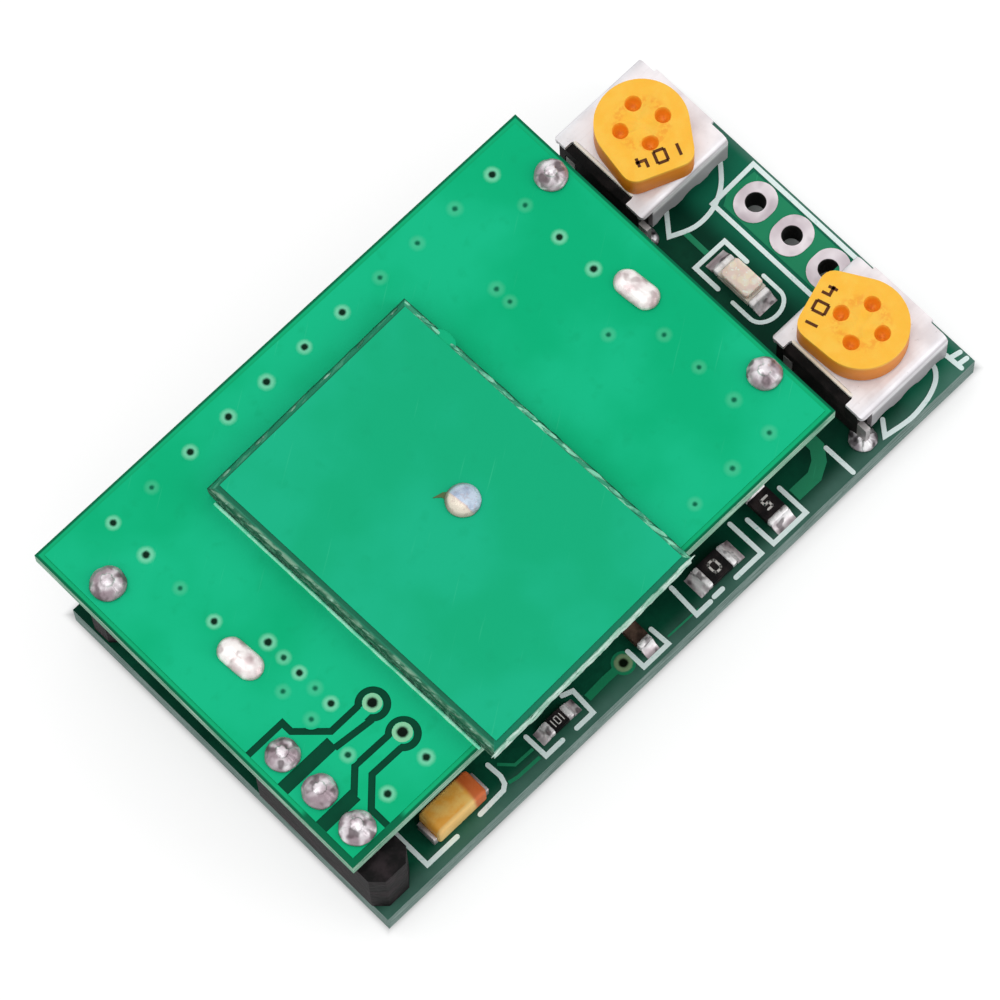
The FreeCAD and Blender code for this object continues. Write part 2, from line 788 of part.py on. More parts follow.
def signal_leads():
    """The two rows of bent leads of the signal chip."""
    mid = chip_stand + chip_height / 2
    half = chip_width / 2
    out = lead_span / 2
    t = lead_thickness
    knee = half + lead_shoulder
    run = [(half, mid), (knee, mid), (knee + lead_fall, t), (out, t), (out, 0), (knee + lead_fall / 4, 0),
           (knee - 0.75 * lead_fall, mid - t), (half, mid - t)]
    leads = []
    for way in (-1, 1):
        for i in range(lead_count):
            x = (i - (lead_count - 1) / 2) * lead_pitch
            wire = Part.makePolygon([vec(0, way * py, pz) for py, pz in run + run[:1]])
            lead = Part.Face(wire).extrude(vec(lead_width, 0, 0))
            lead.translate(vec(main_x + chip_x + x - lead_width / 2, main_y + chip_y, main_top))
            leads.append(lead)
    return Part.makeCompound(leads)


def from_main_end(points):
    """Points given back from the near end and across from the middle of the main board."""
    return [(main_x + main_length / 2 - x, main_y + y) for x, y in points]


def from_low_edge(points):
    """Points given from the middle and in from the low edge of the main board."""
    return [(main_x + x, main_y - main_width / 2 + y) for x, y in points]


def from_low_corner(points):
    """Points given from the far low corner of the main board."""
    return [(main_x - main_length / 2 + x, main_y - main_width / 2 + y) for x, y in points]


def printed_lines():
    """The pale outlines printed on the main board."""
    header_and_lamp = [
        [(0.22, 4.12), (2.3, 4.25), (3.22, 3.9), (3.22, -2.9)],
        [(0.25, 3.75), (0.25, -3.2)],
        [(4.2, 0.62), (4.2, 2.17), (6.25, 2.19), (6.25, 0.6)],
        [(4.2, -0.5), (4.2, -1.3)],
        [(6.22, -0.42), (6.22, -1.3)],
    ]
    chips = [
        [(8.64, 3.05), (8.66, 0.33), (6.4, 0.33), (6.36, 3.05)],
        [(5.6, 2.55), (5.62, 0.4), (3.85, 0.4)],
        [(1.25, 2.25), (1.15, 0.4), (2.1, 0.4)],
        [(2.4, 0.45), (2.98, 0.45)],
        [(-0.95, 2.65), (-0.88, 0.33), (-2.55, 0.33), (-2.56, 2.65)],
        [(-6.4, 2.1), (-5.85, 1.9), (-5.93, 0.43), (-7.05, 0.43)],
        [(-9.1, 1.85), (-9.08, 0.48), (-7.95, 0.48)],
        [(11.75, 2.0), (11.78, 0.1)],
    ]
    capacitor = [
        [(3.25, 3.55), (3.25, 0.62), (5.25, 0.62)],
        [(8.8, 2.15), (8.85, 1.1), (8.5, 0.68), (6.8, 0.63)],
    ]
    runs = [from_main_end(run) for run in header_and_lamp]
    runs += [from_low_edge(run) for run in chips]
    runs += [from_low_corner(run) for run in capacitor]
    lines = [strip(run, mark_width, main_top, mark_thickness) for run in runs]
    lines.append(lamp_mark())
    for name, (x, y) in trimmer_spots.items():
        run = [(main_x + x + bx, main_y + y - frame_width / 2 + by) for bx, by in trimmer_bows[name]]
        lines.append(strip(run, mark_width, main_top, mark_thickness))
    return Part.makeCompound(lines)


def lamp_mark():
    """The filled half round printed at one end of the lamp."""
    x = main_x + lamp_x
    end = main_y + lamp_y - lamp_length / 2 - chip_fillet - lamp_mark_gap
    y = end + lamp_mark_depth
    points = [(x + lamp_mark_radius * math.cos(math.pi * i / 10), y - lamp_mark_radius * math.sin(math.pi * i / 10))
              for i in range(11)]
    body = polygon(points, main_top, mark_thickness)
    return body.cut(block(x, y, main_top - 1, lamp_width + 4 * lamp_mark_gap, 2 * lamp_mark_depth, 3))


def build():
    """Every piece by name."""
    pieces = {
        "main_board": main_board(),
        "header_pads": header_pads(),
        "printed_lines": printed_lines(),
        "antenna_board": antenna_board(),
        "antenna_copper": antenna_copper(),
        "patch_plate": plate(),
        "patch_copper": patch(),
        "feed_pin": feed_pin(),
        "feed_solder": feed_solder(),
        "link_pins": square_pins(link_pins()),
        "link_block": link_block(),
        "support_pins": square_pins(support_pins()),
        "support_blocks": support_blocks(),
        "top_solder": top_solder(),
        "bottom_solder": bottom_solder(),
        "screen_can": screen_can(),
        "can_solder": can_solder(),
        "leg_solder": leg_solder(),
        "lamp_body": lamp_body(),
        "lamp_lens": lamp_lens(),
        "lamp_ends": lamp_ends(),
        "chip_solder": chip_solder(),
        "tantalum_body": tantalum_body(),
        "tantalum_leads": tantalum_leads(),
        "signal_chip": signal_chip(),
        "signal_leads": signal_leads(),
    }
    for name in trimmer_spots:
        pieces["trimmer_frame_" + name] = trimmer_frame(name)
        pieces["trimmer_base_" + name] = trimmer_base(name)
        pieces["trimmer_rotor_" + name] = trimmer_rotor(name)
        pieces["trimmer_legs_" + name] = leg_pieces(name)
    for part in chip_parts:
        pieces[part[0] + "_body"] = chip_body(*part[1:])
        pieces[part[0] + "_ends"] = chip_ends(*part[1:])
    return pieces


os.makedirs("parts", exist_ok=True)
for node, shape in build().items():
    shape.exportStep("parts/" + node + ".step")
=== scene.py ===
"""Dresses the two-board radar sensor module: solder, plated holes, plate edges, marks, finishes and light.

Sizes are in millimetres in the classes and become metres where a mesh is made. X runs along the boards
towards the trimmers, Y across them and Z up, as in the part's source.
"""
import functools
import logging
import math
import random
from dataclasses import dataclass
from enum import Enum
from typing import Callable

import bmesh
import bpy
from mathutils import Matrix, Vector


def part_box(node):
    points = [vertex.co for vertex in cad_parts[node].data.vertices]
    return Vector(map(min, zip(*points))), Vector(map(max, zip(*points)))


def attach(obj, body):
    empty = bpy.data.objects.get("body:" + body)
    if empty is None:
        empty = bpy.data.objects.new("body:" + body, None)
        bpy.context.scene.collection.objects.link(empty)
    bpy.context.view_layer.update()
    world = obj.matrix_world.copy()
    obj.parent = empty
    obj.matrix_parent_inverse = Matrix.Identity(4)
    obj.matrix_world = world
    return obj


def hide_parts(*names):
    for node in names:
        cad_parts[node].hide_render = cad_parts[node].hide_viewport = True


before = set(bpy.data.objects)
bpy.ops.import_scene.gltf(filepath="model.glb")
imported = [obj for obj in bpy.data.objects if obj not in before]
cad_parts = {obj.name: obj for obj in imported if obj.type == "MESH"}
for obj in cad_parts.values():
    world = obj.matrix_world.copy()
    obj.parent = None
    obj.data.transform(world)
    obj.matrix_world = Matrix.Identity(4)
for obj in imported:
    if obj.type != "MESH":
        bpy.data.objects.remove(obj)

LOG = logging.getLogger("radar_module")
MM = 0.001
Point = tuple[float, float]
Triple = tuple[float, float, float]
Path = list[Point]
Points = tuple[Point, ...]
Runs = tuple[Points, ...]
Piece = bpy.types.Object
ANTENNA: Point = (-4.15, 0.865)
MAIN: Point = (0.15, -0.815)
BOARD_SHIFT: Point = (ANTENNA[0] - MAIN[0], ANTENNA[1] - MAIN[1])
PLATE: Point = (-5.35, -1.285)
PLATE_TURN = 1.3
MAIN_UNDER, MAIN_TOP = 0.9, 2.5
ANTENNA_UNDER, ANTENNA_TOP, COPPER_TOP = 7.1, 8.0, 8.05
PLATE_TOP, PATCH_TOP = 9.05, 9.10


class Body(Enum):
    """The bodies that a piece can ride on."""

    MODULE = "module"
    UPPER = "rotor_upper"
    LOWER = "rotor_lower"


class Pick(Enum):
    """What an edit-mode selection is made of."""

    FACES = "FACE"
    EDGES = "EDGE"
    POINTS = "VERT"


@dataclass(frozen=True)
class Colour:
    """A colour as seen in a photograph, each part from 0 to 255."""

    red: float
    green: float
    blue: float

    def linear(self) -> tuple[float, float, float, float]:
        """The colour as a shader socket takes it.

        Returns:
            Red, green and blue from 0 to 1, and 1.
        """
        parts = [value / 255 for value in (self.red, self.green, self.blue)]
        low = [value / 12.92 if value <= 0.04045 else ((value + 0.055) / 1.055) ** 2.4 for value in parts]
        return (low[0], low[1], low[2], 1.0)


@dataclass(frozen=True)
class Clouds:
    """Cloudy noise in which a second colour rises from nothing to its full share."""

    size: float
    low: float
    high: float
    share: float = 1.0
    detail: float = 3.0


@dataclass(frozen=True)
class Spin:
    """How the copies of one pattern differ, so that no two look the same."""

    start: float = 0.0
    step: float = 0.0
    least: float = 1.0
    growth: float = 0.0
    cycle: int = 1


# ---------------------------------------------------------------- shader sums


class Value:
    """One shader socket that can be used in a sum."""

    def __init__(self, graph: "Graph", socket: bpy.types.NodeSocket) -> None:
        """Keep the socket and the graph it belongs to."""
        self.graph = graph
        self.socket = socket

    def math(self, operation: str, first: "Number", second: "Number") -> "Value":
        """The result of a Math node."""
        return self.graph.node("ShaderNodeMath", {"operation": operation}, {0: first, 1: second})

    def __add__(self, other: "Number") -> "Value":
        """Add."""
        return self.math("ADD", self, other)

    def __radd__(self, other: float) -> "Value":
        """Add, number first."""
        return self.math("ADD", other, self)

    def __sub__(self, other: "Number") -> "Value":
        """Subtract."""
        return self.math("SUBTRACT", self, other)

    def __rsub__(self, other: float) -> "Value":
        """Subtract from a number."""
        return self.math("SUBTRACT", other, self)

    def __mul__(self, other: "Number") -> "Value":
        """Multiply."""
        return self.math("MULTIPLY", self, other)

    def __rmul__(self, other: float) -> "Value":
        """Multiply, number first."""
        return self.math("MULTIPLY", other, self)

    def __abs__(self) -> "Value":
        """The size without its sign."""
        return self.math("ABSOLUTE", self, 0.0)

    def larger(self, other: "Number") -> "Value":
        """The larger of the two."""
        return self.math("MAXIMUM", self, other)

    def mixed(self, other: "Value", share: "Value") -> "Value":
        """The value that lies between this one and another."""
        return self + (other - self) * share

    def ramp(self, start: float, end: float) -> "Value":
        """Go smoothly from 0 at start to 1 at end."""
        settings = {"interpolation_type": "SMOOTHSTEP"}
        return self.graph.node("ShaderNodeMapRange", settings, {0: self, 1: start, 2: end, 3: 0.0, 4: 1.0})

    def band(self, low: float, high: float, soft: float) -> "Value":
        """1 between two values and 0 outside them, with soft sides."""
        return self.ramp(low - soft, low + soft) * (1.0 - self.ramp(high - soft, high + soft))


Number = Value | float
Tint = Value | Colour


class Graph:
    """The node tree of one material or of the world, in millimetres."""

    def __init__(self, name: str, world: bool = False) -> None:
        """Start an empty tree with its output node.

        Args:
            name: its name.
            world: True for the world, False for a material.
        """
        self.owner = bpy.data.worlds.new(name) if world else bpy.data.materials.new(name)
        self.owner.use_nodes = True
        self.tree = self.owner.node_tree
        self.tree.nodes.clear()
        self.output = self.tree.nodes.new("ShaderNodeOutputWorld" if world else "ShaderNodeOutputMaterial")
        self._place: Value | None = None

    def node(self, kind: str, settings: dict, sockets: dict, out: int = 0) -> Value:
        """Add one node.

        Args:
            kind: the node's type.
            settings: properties that are set first.
            sockets: values, colours or links by input name or number.
            out: the number of the output that is wanted.

        Returns:
            That output.
        """
        node = self.tree.nodes.new(kind)
        for key, value in settings.items():
            setattr(node, key, value)
        for key, value in sockets.items():
            if isinstance(value, Value):
                self.tree.links.new(value.socket, node.inputs[key])
            else:
                node.inputs[key].default_value = value.linear() if isinstance(value, Colour) else value
        return Value(self, node.outputs[out])

    def close(self, shader: Value) -> bpy.types.ID:
        """Link the last shader to the output and give back what owns the tree."""
        self.tree.links.new(shader.socket, self.output.inputs["Surface"])
        return self.owner

    def place(self) -> Value:
        """Object coordinates in millimetres.

        Returns:
            The coordinates.
        """
        if self._place is None:
            raw = self.node("ShaderNodeTexCoord", {}, {}, 3)
            settings = {"vector_type": "POINT"}
            self._place = self.node("ShaderNodeMapping", settings, {0: raw, 3: (1000.0, 1000.0, 1000.0)})
        return self._place

    def turned(self, centre: Point = (0.0, 0.0), angle: float = 0.0, stretch: Triple = (1.0, 1.0, 1.0)) -> Value:
        """Object coordinates in millimetres from a centre, turned and stretched.

        Args:
            centre: the point that becomes zero.
            angle: how far the pattern is turned, in degrees.
            stretch: the scale along each axis.

        Returns:
            The coordinates.
        """
        moved = self.node("ShaderNodeMapping", {}, {0: self.place(), 1: (-centre[0], -centre[1], 0.0)})
        back = self.node("ShaderNodeMapping", {}, {0: moved, 2: (0.0, 0.0, -math.radians(angle))})
        return self.node("ShaderNodeMapping", {}, {0: back, 3: stretch})

    def axis(self, number: int, vector: Value | None = None) -> Value:
        """One of the three coordinates."""
        return self.node("ShaderNodeSeparateXYZ", {}, {0: vector or self.place()}, number)

    def reach(self, centre: Point) -> Value:
        """Distance from an upright axis, in millimetres.

        Args:
            centre: a point of the axis.

        Returns:
            The distance.
        """
        flat = self.node("ShaderNodeVectorMath", {"operation": "MULTIPLY"},
                         {0: self.turned(centre), 1: (1.0, 1.0, 0.0)})
        return self.node("ShaderNodeVectorMath", {"operation": "LENGTH"}, {0: flat}, 1)

    def noise(self, size: float, detail: float = 3.0, vector: Value | None = None) -> Value:
        """Cloudy noise from about 0 to 1, its clouds as large as size, with finer layers of detail."""
        sockets = {"Vector": vector or self.place(), "Scale": 1.0 / size, "Detail": detail, "Roughness": 0.5}
        return self.node("ShaderNodeTexNoise", {}, sockets)

    def clouds(self, look: Clouds, vector: Value | None = None) -> Value:
        """Clouds that rise from 0 to their share."""
        return self.noise(look.size, look.detail, vector).ramp(look.low, look.high) * look.share

    def cells(self, size: float) -> Value:
        """Distance inside random cells."""
        return self.node("ShaderNodeTexVoronoi", {}, {"Vector": self.place(), "Scale": 1.0 / size})

    def mix(self, factor: Number, first: Tint, second: Tint) -> Value:
        """A colour between two others."""
        settings = {"data_type": "RGBA", "clamp_factor": True}
        return self.node("ShaderNodeMix", settings, {0: factor, 6: first, 7: second}, 2)

    def surface(self, colour: Tint, roughness: Number, metallic: Number = 0.0, bump: Value | None = None,
                depth: float = 0.02, **constant: float) -> bpy.types.Material:
        """Close the material with one Principled shader.

        Args:
            colour: the base colour.
            roughness: the roughness.
            metallic: how metallic it is.
            bump: a height from 0 to 1.
            depth: what a height of 1 is in millimetres.
            constant: other sockets, with _ for a space, that are the same all over.

        Returns:
            The material.
        """
        sockets = {"Base Color": colour, "Roughness": roughness, "Metallic": metallic}
        if bump is not None:
            height = {"Strength": 1.0, "Distance": depth * MM, "Height": bump}
            sockets["Normal"] = self.node("ShaderNodeBump", {}, height)
        sockets.update({key.replace("_", " "): value for key, value in constant.items()})
        return self.close(self.node("ShaderNodeBsdfPrincipled", {}, sockets))


# ---------------------------------------------------------------- finishes


@dataclass(frozen=True)
class Finish:
    """How one kind of surface looks."""

    name: str

    def shade(self, graph: Graph) -> bpy.types.Material:
        """Fill the graph of the finish's material."""
        raise NotImplementedError(self.name)


@functools.cache
def material(finish: Finish) -> bpy.types.Material:
    """The material of a finish, made once and shared."""
    return finish.shade(Graph(finish.name))


@dataclass(frozen=True)
class BoardFinish(Finish):
    """Fibreglass board with solder mask on its two faces and bare cut sides."""

    mask: Colour
    deep: Colour
    side: Colour
    side_dark: Colour
    low: float
    high: float
    tint: Clouds = Clouds(5.0, 0.35, 0.65, detail=4.0)
    specks: Clouds = Clouds(0.6, 0.45, 0.7, 0.35, 4.0)
    pits: Clouds = Clouds(0.25, 0.55, 0.75, 0.6, 2.0)
    fibre_stretch: Triple = (0.25, 0.25, 5.0)
    mask_thick: float = 0.012

    def face(self, graph: Graph) -> Value:
        """The mask on the two faces."""
        face = graph.mix(graph.clouds(self.tint), self.mask, self.deep)
        return graph.mix(graph.clouds(self.specks), face, self.deep)

    def shade(self, graph: Graph) -> bpy.types.Material:
        """Mask colour on the faces, layered fibre colour on the sides.

        Args:
            graph: the material's graph.

        Returns:
            The material.
        """
        fine = graph.noise(0.6, 4.0)
        layers = graph.noise(0.5, 3.0, graph.turned(stretch=self.fibre_stretch))
        side = graph.mix(layers.ramp(0.35, 0.65), self.side_dark, self.side)
        side = graph.mix(graph.clouds(self.pits), side, self.side_dark)
        inside = graph.axis(2).band(self.low + self.mask_thick, self.high - self.mask_thick, 0.008)
        colour = graph.mix(inside, self.face(graph), side)
        return graph.surface(colour, 0.36 + 0.35 * inside + 0.12 * fine, 0.0, fine * 0.5 + layers * inside,
                             self.mask_thick, Specular_IOR_Level=0.05)


@dataclass(frozen=True)
class AntennaFinish(BoardFinish):
    """The upper board: very dark where the copper is left out, bright again at its very edge."""

    border: Colour = Colour(14, 176, 118)
    half_long: float = 16.2
    half_wide: float = 11.0
    border_starts: Point = (-0.36, -0.33)
    border_ends: Point = (-0.17, -0.1)
    cut_corner: Point = (-20.35, -10.1)
    cut_reach: Point = (3.3, 3.8)

    def face(self, graph: Graph) -> Value:
        """Dark mask without copper under it, and a bright border that one corner lacks.

        Args:
            graph: the material's graph.

        Returns:
            The colour.
        """
        local = graph.turned(ANTENNA)
        side = (abs(graph.axis(0, local)) - self.half_long).larger(abs(graph.axis(1, local)) - self.half_wide)
        border = side.ramp(*self.border_starts)
        face = graph.mix(border, super().face(graph), self.border)
        corner = 1.0 - graph.reach(self.cut_corner).ramp(*self.cut_reach)
        return graph.mix(side.ramp(*self.border_ends).larger(corner * border) * 0.75, face, self.deep)


@dataclass(frozen=True)
class MainFinish(BoardFinish):
    """The lower board: greener by the header, grey and blurred along its near low edge, where the grey is a painted
    reflection.
    """

    green: Colour = Colour(22, 112, 84)
    edge_tone: Colour = Colour(84, 124, 112)
    green_starts: Point = (15.6, 17.2)
    near_edge_reflection: Point = (-11.765, -10.565)
    header_edge: Point = (19.85, 20.3)

    def face(self, graph: Graph) -> Value:
        """Dark mask that changes along the board.

        Args:
            graph: the material's graph.

        Returns:
            The colour.
        """
        x, y = graph.axis(0), graph.axis(1)
        cloud = graph.noise(1.6)
        face = graph.mix(x.ramp(*self.green_starts) * (0.55 + 0.5 * cloud), super().face(graph), self.green)
        # painted reflection: lighter grey-green along the near low edge
        face = graph.mix((1.0 - y.ramp(*self.near_edge_reflection)) * (0.35 + 0.6 * cloud), face, self.edge_tone)
        return graph.mix(x.ramp(*self.header_edge) * 0.6, face, self.edge_tone)


@dataclass(frozen=True)
class CopperFinish(Finish):
    """Solder mask over copper: bright green, with faint clouds, dust and hairline scratches."""

    bright: Colour
    cool: Colour
    rim: Colour
    scratched: Colour = Colour(80, 215, 165)
    tint: Clouds = Clouds(7.0, 0.38, 0.62)
    dust: Clouds = Clouds(0.9, 0.56, 0.78, 0.35, 5.0)
    scratches: Clouds = Clouds(0.5, 0.68, 0.8, 0.2, 2.0)
    scratch_turn: float = 33.0
    scratch_stretch: Triple = (0.12, 3.2, 1.0)

    def colours(self, graph: Graph) -> Value:
        """The mask colour, shared with what lies on it.

        Args:
            graph: the material's graph.

        Returns:
            The colour.
        """
        colour = graph.mix(graph.clouds(self.tint), self.bright, self.cool)
        colour = graph.mix(graph.clouds(self.dust), colour, self.rim)
        drawn = graph.turned(angle=self.scratch_turn, stretch=self.scratch_stretch)
        return graph.mix(graph.clouds(self.scratches, drawn), colour, self.scratched)

    def shade(self, graph: Graph) -> bpy.types.Material:
        """A smooth painted sheet."""
        return graph.surface(self.colours(graph), 0.4 + 0.16 * graph.noise(2.4), 0.0, graph.noise(0.35, 4.0), 0.006,
                             Specular_IOR_Level=0.05)


@dataclass(frozen=True)
class RingFinish(Finish):
    """A plated hole: a dark middle that is painted shade of the hole's inside, a pale ring, then the mask round it."""

    ground: CopperFinish
    ring: Colour
    hole: Colour
    hole_shade_end: float
    ring_end: float
    show: float

    def shade(self, graph: Graph) -> bpy.types.Material:
        """Colours follow the reach attribute, which is 0 at the middle and 1 at the rim.

        Args:
            graph: the material's graph.

        Returns:
            The material.
        """
        reach = graph.node("ShaderNodeAttribute", {"attribute_name": "reach"}, {}, 2)
        wobble = reach + 0.14 * (graph.noise(0.16, 2.0) - 0.5)
        halo = 1.0 - wobble.ramp(self.ring_end, 1.0)
        colour = graph.mix(halo * self.show, self.ground.colours(graph), self.ring)
        # painted shade: the dark middle stands for the shade inside the hole
        mouth = 1.0 - wobble.ramp(self.hole_shade_end - 0.16, self.hole_shade_end + 0.14)
        colour = graph.mix(mouth, colour, self.hole)
        return graph.surface(colour, 0.42 + 0.2 * reach, 0.0, reach, 0.01, Specular_IOR_Level=0.05)


@dataclass(frozen=True)
class SolderFinish(Finish):
    """Frozen solder with painted light: a painted highlight on the crown, painted shade down the pinkish grey flanks,
    and dark painted shade in crease spots and at the foot.
    """

    foot: float
    rise: float
    crown: Colour
    flank: Colour
    crease: Colour = Colour(92, 76, 84)
    grain: float = 0.8
    metallic: float = 0.5
    roughness: float = 0.24
    start: float = 0.5
    shade_blotch: float = 0.45

    def tones(self, graph: Graph) -> Value:
        """The colour by height, with clouds: painted highlight high up, painted shade low down and in dark spots.

        Args:
            graph: the material's graph.

        Returns:
            The colour.
        """
        climb = (graph.axis(2) - self.foot) * (1.0 / self.rise)
        # painted light: the crown lighter and the flanks darker by height
        lit_tone = climb * 0.5 + 2.4 * (graph.noise(self.grain, 1.5) - 0.5)
        colour = graph.mix(lit_tone.ramp(self.start - 0.4, self.start + 0.4), self.flank, self.crown)
        spots = Clouds(self.grain * 0.8, 0.5, 0.66, self.shade_blotch, 1.5)
        # painted shade: dark spots that stand for the shade in the creases
        colour = graph.mix(graph.clouds(spots, graph.turned((3.1, 1.7), 40.0)), colour, self.crease)
        # painted shade where the joint meets the board
        return graph.mix((1.0 - climb.ramp(0.02, 0.3)) * 0.5, colour, self.crease)

    def shade(self, graph: Graph) -> bpy.types.Material:
        """Bright metal with soft dents."""
        cloud = graph.noise(self.grain * 0.6)
        return graph.surface(self.tones(graph), self.roughness + 0.28 * cloud, self.metallic, cloud, 0.05)


@dataclass(frozen=True)
class FeedFinish(SolderFinish):
    """The joint on the patch: bluish white, with a cream side and a brown rim."""

    centre: Point = (-4.1, -1.005)
    turn: float = 4.0
    cream: Colour = Colour(226, 216, 200)
    seam: Colour = Colour(206, 164, 158)
    freckle: Colour = Colour(176, 150, 146)
    freckles: Clouds = Clouds(0.22, 0.56, 0.68, 0.3, 2.0)
    rim: Colour = Colour(96, 104, 84)
    rim_reach: Point = (0.69, 0.83)

    def tones(self, graph: Graph) -> Value:
        """Two sides that meet along a line, and a dark rim.

        Args:
            graph: the material's graph.

        Returns:
            The colour.
        """
        local = graph.turned(self.centre, self.turn)
        cloud = graph.noise(0.5)
        x, y = graph.axis(0, local), graph.axis(1, local)
        wavy = x + 0.12 * cloud
        colour = graph.mix(cloud.ramp(0.35, 0.7), self.crown, self.flank)
        colour = graph.mix(1.0 - wavy.ramp(-0.2, -0.1), colour, self.cream)
        colour = graph.mix(wavy.band(-0.2, -0.12, 0.03) * 0.35, colour, self.seam)
        edge = graph.reach(self.centre).ramp(*self.rim_reach)
        colour = graph.mix(graph.clouds(self.freckles), colour, self.freckle)
        colour = graph.mix(edge * (1.0 - x.ramp(-0.1, 0.5)) * 0.55, colour, self.rim)
        return graph.mix(edge * y.ramp(0.0, 0.6) * 0.6, colour, self.rim)


@dataclass(frozen=True)
class MetalFinish(Finish):
    """Plated sheet or pin metal, with drawn lines and smears."""

    bright: Colour
    smear: Colour
    roughness: float = 0.32
    metallic: float = 0.8
    lines: Triple = (0.2, 6.0, 6.0)
    speck: Colour = Colour(150, 138, 138)
    specks: Clouds = Clouds(0.22, 0.68, 0.78, 0.35)

    def sheet(self, graph: Graph, drawn: Value) -> Value:
        """The smeared colour with its specks.

        Args:
            graph: the material's graph.
            drawn: the noise of the drawn lines.

        Returns:
            The colour.
        """
        colour = graph.mix(graph.noise(1.6, 4.0).ramp(0.35, 0.7), self.bright, self.smear)
        colour = graph.mix(drawn.ramp(0.55, 0.75) * 0.35, colour, self.smear)
        return graph.mix(graph.clouds(self.specks), colour, self.speck)

    def shade(self, graph: Graph) -> bpy.types.Material:
        """Sheet metal with its grain along one axis.

        Args:
            graph: the material's graph.

        Returns:
            The material.
        """
        drawn = graph.noise(0.9, 3.0, graph.turned(stretch=self.lines))
        cloud = graph.noise(1.6, 4.0)
        return graph.surface(self.sheet(graph, drawn), self.roughness + 0.25 * cloud, self.metallic,
                             drawn + cloud * 0.6, 0.008)


@dataclass(frozen=True)
class FrameFinish(MetalFinish):
    """Bent sheet metal with painted shade that darkens it low down, and a painted shadow and a painted gleam along its
    fold.
    """

    foot: float = 5.8
    low: Colour = Colour(140, 134, 139)
    shadow: Colour = Colour(150, 142, 148)
    gleam: Colour = Colour(250, 246, 248)

    def sheet(self, graph: Graph, drawn: Value) -> Value:
        """The sheet's colour, with painted shade low down and the painted shadow and gleam near the fold.

        Args:
            graph: the material's graph.
            drawn: the noise of the drawn lines.

        Returns:
            The colour.
        """
        # painted shade: darker towards the foot of the wall
        low = 1.0 - graph.axis(2).ramp(self.foot - 1.1, self.foot - 0.5)
        colour = graph.mix(low * 0.8, super().sheet(graph, drawn), self.low)
        height = graph.axis(2) + 0.16 * (drawn - 0.5)
        fold = height.band(self.foot - 0.34, self.foot - 0.2, 0.06)
        colour = graph.mix(fold * 0.45, colour, self.shadow)
        return graph.mix(height.band(self.foot - 0.72, self.foot - 0.56, 0.06) * 0.7, colour, self.gleam)


@dataclass(frozen=True)
class PlasticFinish(Finish):
    """Moulded plastic or ceramic with a fine grain and rubbed places."""

    colour: Colour
    worn: Colour
    roughness: float = 0.5
    grain: float = 0.12
    depth: float = 0.015

    def shade(self, graph: Graph) -> bpy.types.Material:
        """A matt body with worn clouds.

        Args:
            graph: the material's graph.

        Returns:
            The material.
        """
        cloud = graph.noise(0.9, 4.0)
        fine = graph.noise(self.grain)
        colour = graph.mix(cloud.ramp(0.42, 0.75), self.colour, self.worn)
        colour = graph.mix(fine.ramp(0.6, 0.78) * 0.35, colour, self.worn)
        return graph.surface(colour, self.roughness + 0.2 * cloud, 0.0, fine + cloud, self.depth,
                             Specular_IOR_Level=0.14)


@dataclass(frozen=True)
class RotorFinish(Finish):
    """Orange moulded cap with painted light: bright on top, painted shade in its hollows and pockets, in a ring and
    down its sides, and painted highlights in the pockets.
    """

    centre: Point
    height: float
    top: Colour = Colour(255, 190, 56)
    glow: Colour = Colour(255, 198, 70)
    side: Colour = Colour(240, 142, 22)
    foot: Colour = Colour(184, 92, 8)
    hollow: Colour = Colour(252, 164, 36)
    pocket_shade: Colour = Colour(192, 78, 10)
    pocket_highlight: Colour = Colour(255, 168, 66)
    ring: Colour = Colour(240, 118, 10)
    mottle: Clouds = Clouds(0.2, 0.4, 0.6)
    cross: Point = (1.5, 1.62)
    foot_shade_rise: Point = (5.9, 7.0)

    def shade(self, graph: Graph) -> bpy.types.Material:
        """Colour by height, with the pockets told apart by their distance from the axis; the darker sides, hollows,
        pockets, ring and foot are painted shade.

        Args:
            graph: the material's graph.

        Returns:
            The material.
        """
        radius = graph.reach(self.centre)
        height = graph.axis(2)
        cloud = graph.noise(0.8, 4.0)
        top = graph.mix(cloud.ramp(0.35, 0.7), self.top, self.glow)
        # painted shade: the sides darker than the top
        colour = graph.mix(height.ramp(self.height - 0.34, self.height - 0.04), self.side, top)
        inner = 1.0 - radius.ramp(*self.cross)
        sunk_shade = inner * (1.0 - height.ramp(self.height - 0.4, self.height - 0.1))
        # painted shade in the shallow hollows
        colour = graph.mix(sunk_shade * 0.35, colour, self.hollow)
        deep = inner * (1.0 - height.ramp(self.height - 0.85, self.height - 0.38))
        mottle = graph.clouds(self.mottle)
        # painted shade in the pockets, mottled with painted highlights
        colour = graph.mix(deep, colour, graph.mix(mottle, self.pocket_shade, self.pocket_highlight))
        ring = radius.band(0.95, 1.45, 0.2) * height.ramp(self.height - 0.3, self.height - 0.05)
        # painted shade of a shallow ring-shaped trough
        colour = graph.mix(ring * (1.0 - mottle) * 0.35, colour, self.ring)
        shade = 1.0 - height.ramp(*self.foot_shade_rise)
        # painted shade towards the foot
        colour = graph.mix(shade * 0.5 * (1.0 - inner), colour, self.foot)
        return graph.surface(colour, 0.4 + 0.2 * cloud, 0.0, graph.noise(0.14) + cloud, 0.012,
                             Subsurface_Weight=0.1, Subsurface_Scale=0.0004, Specular_IOR_Level=0.3)


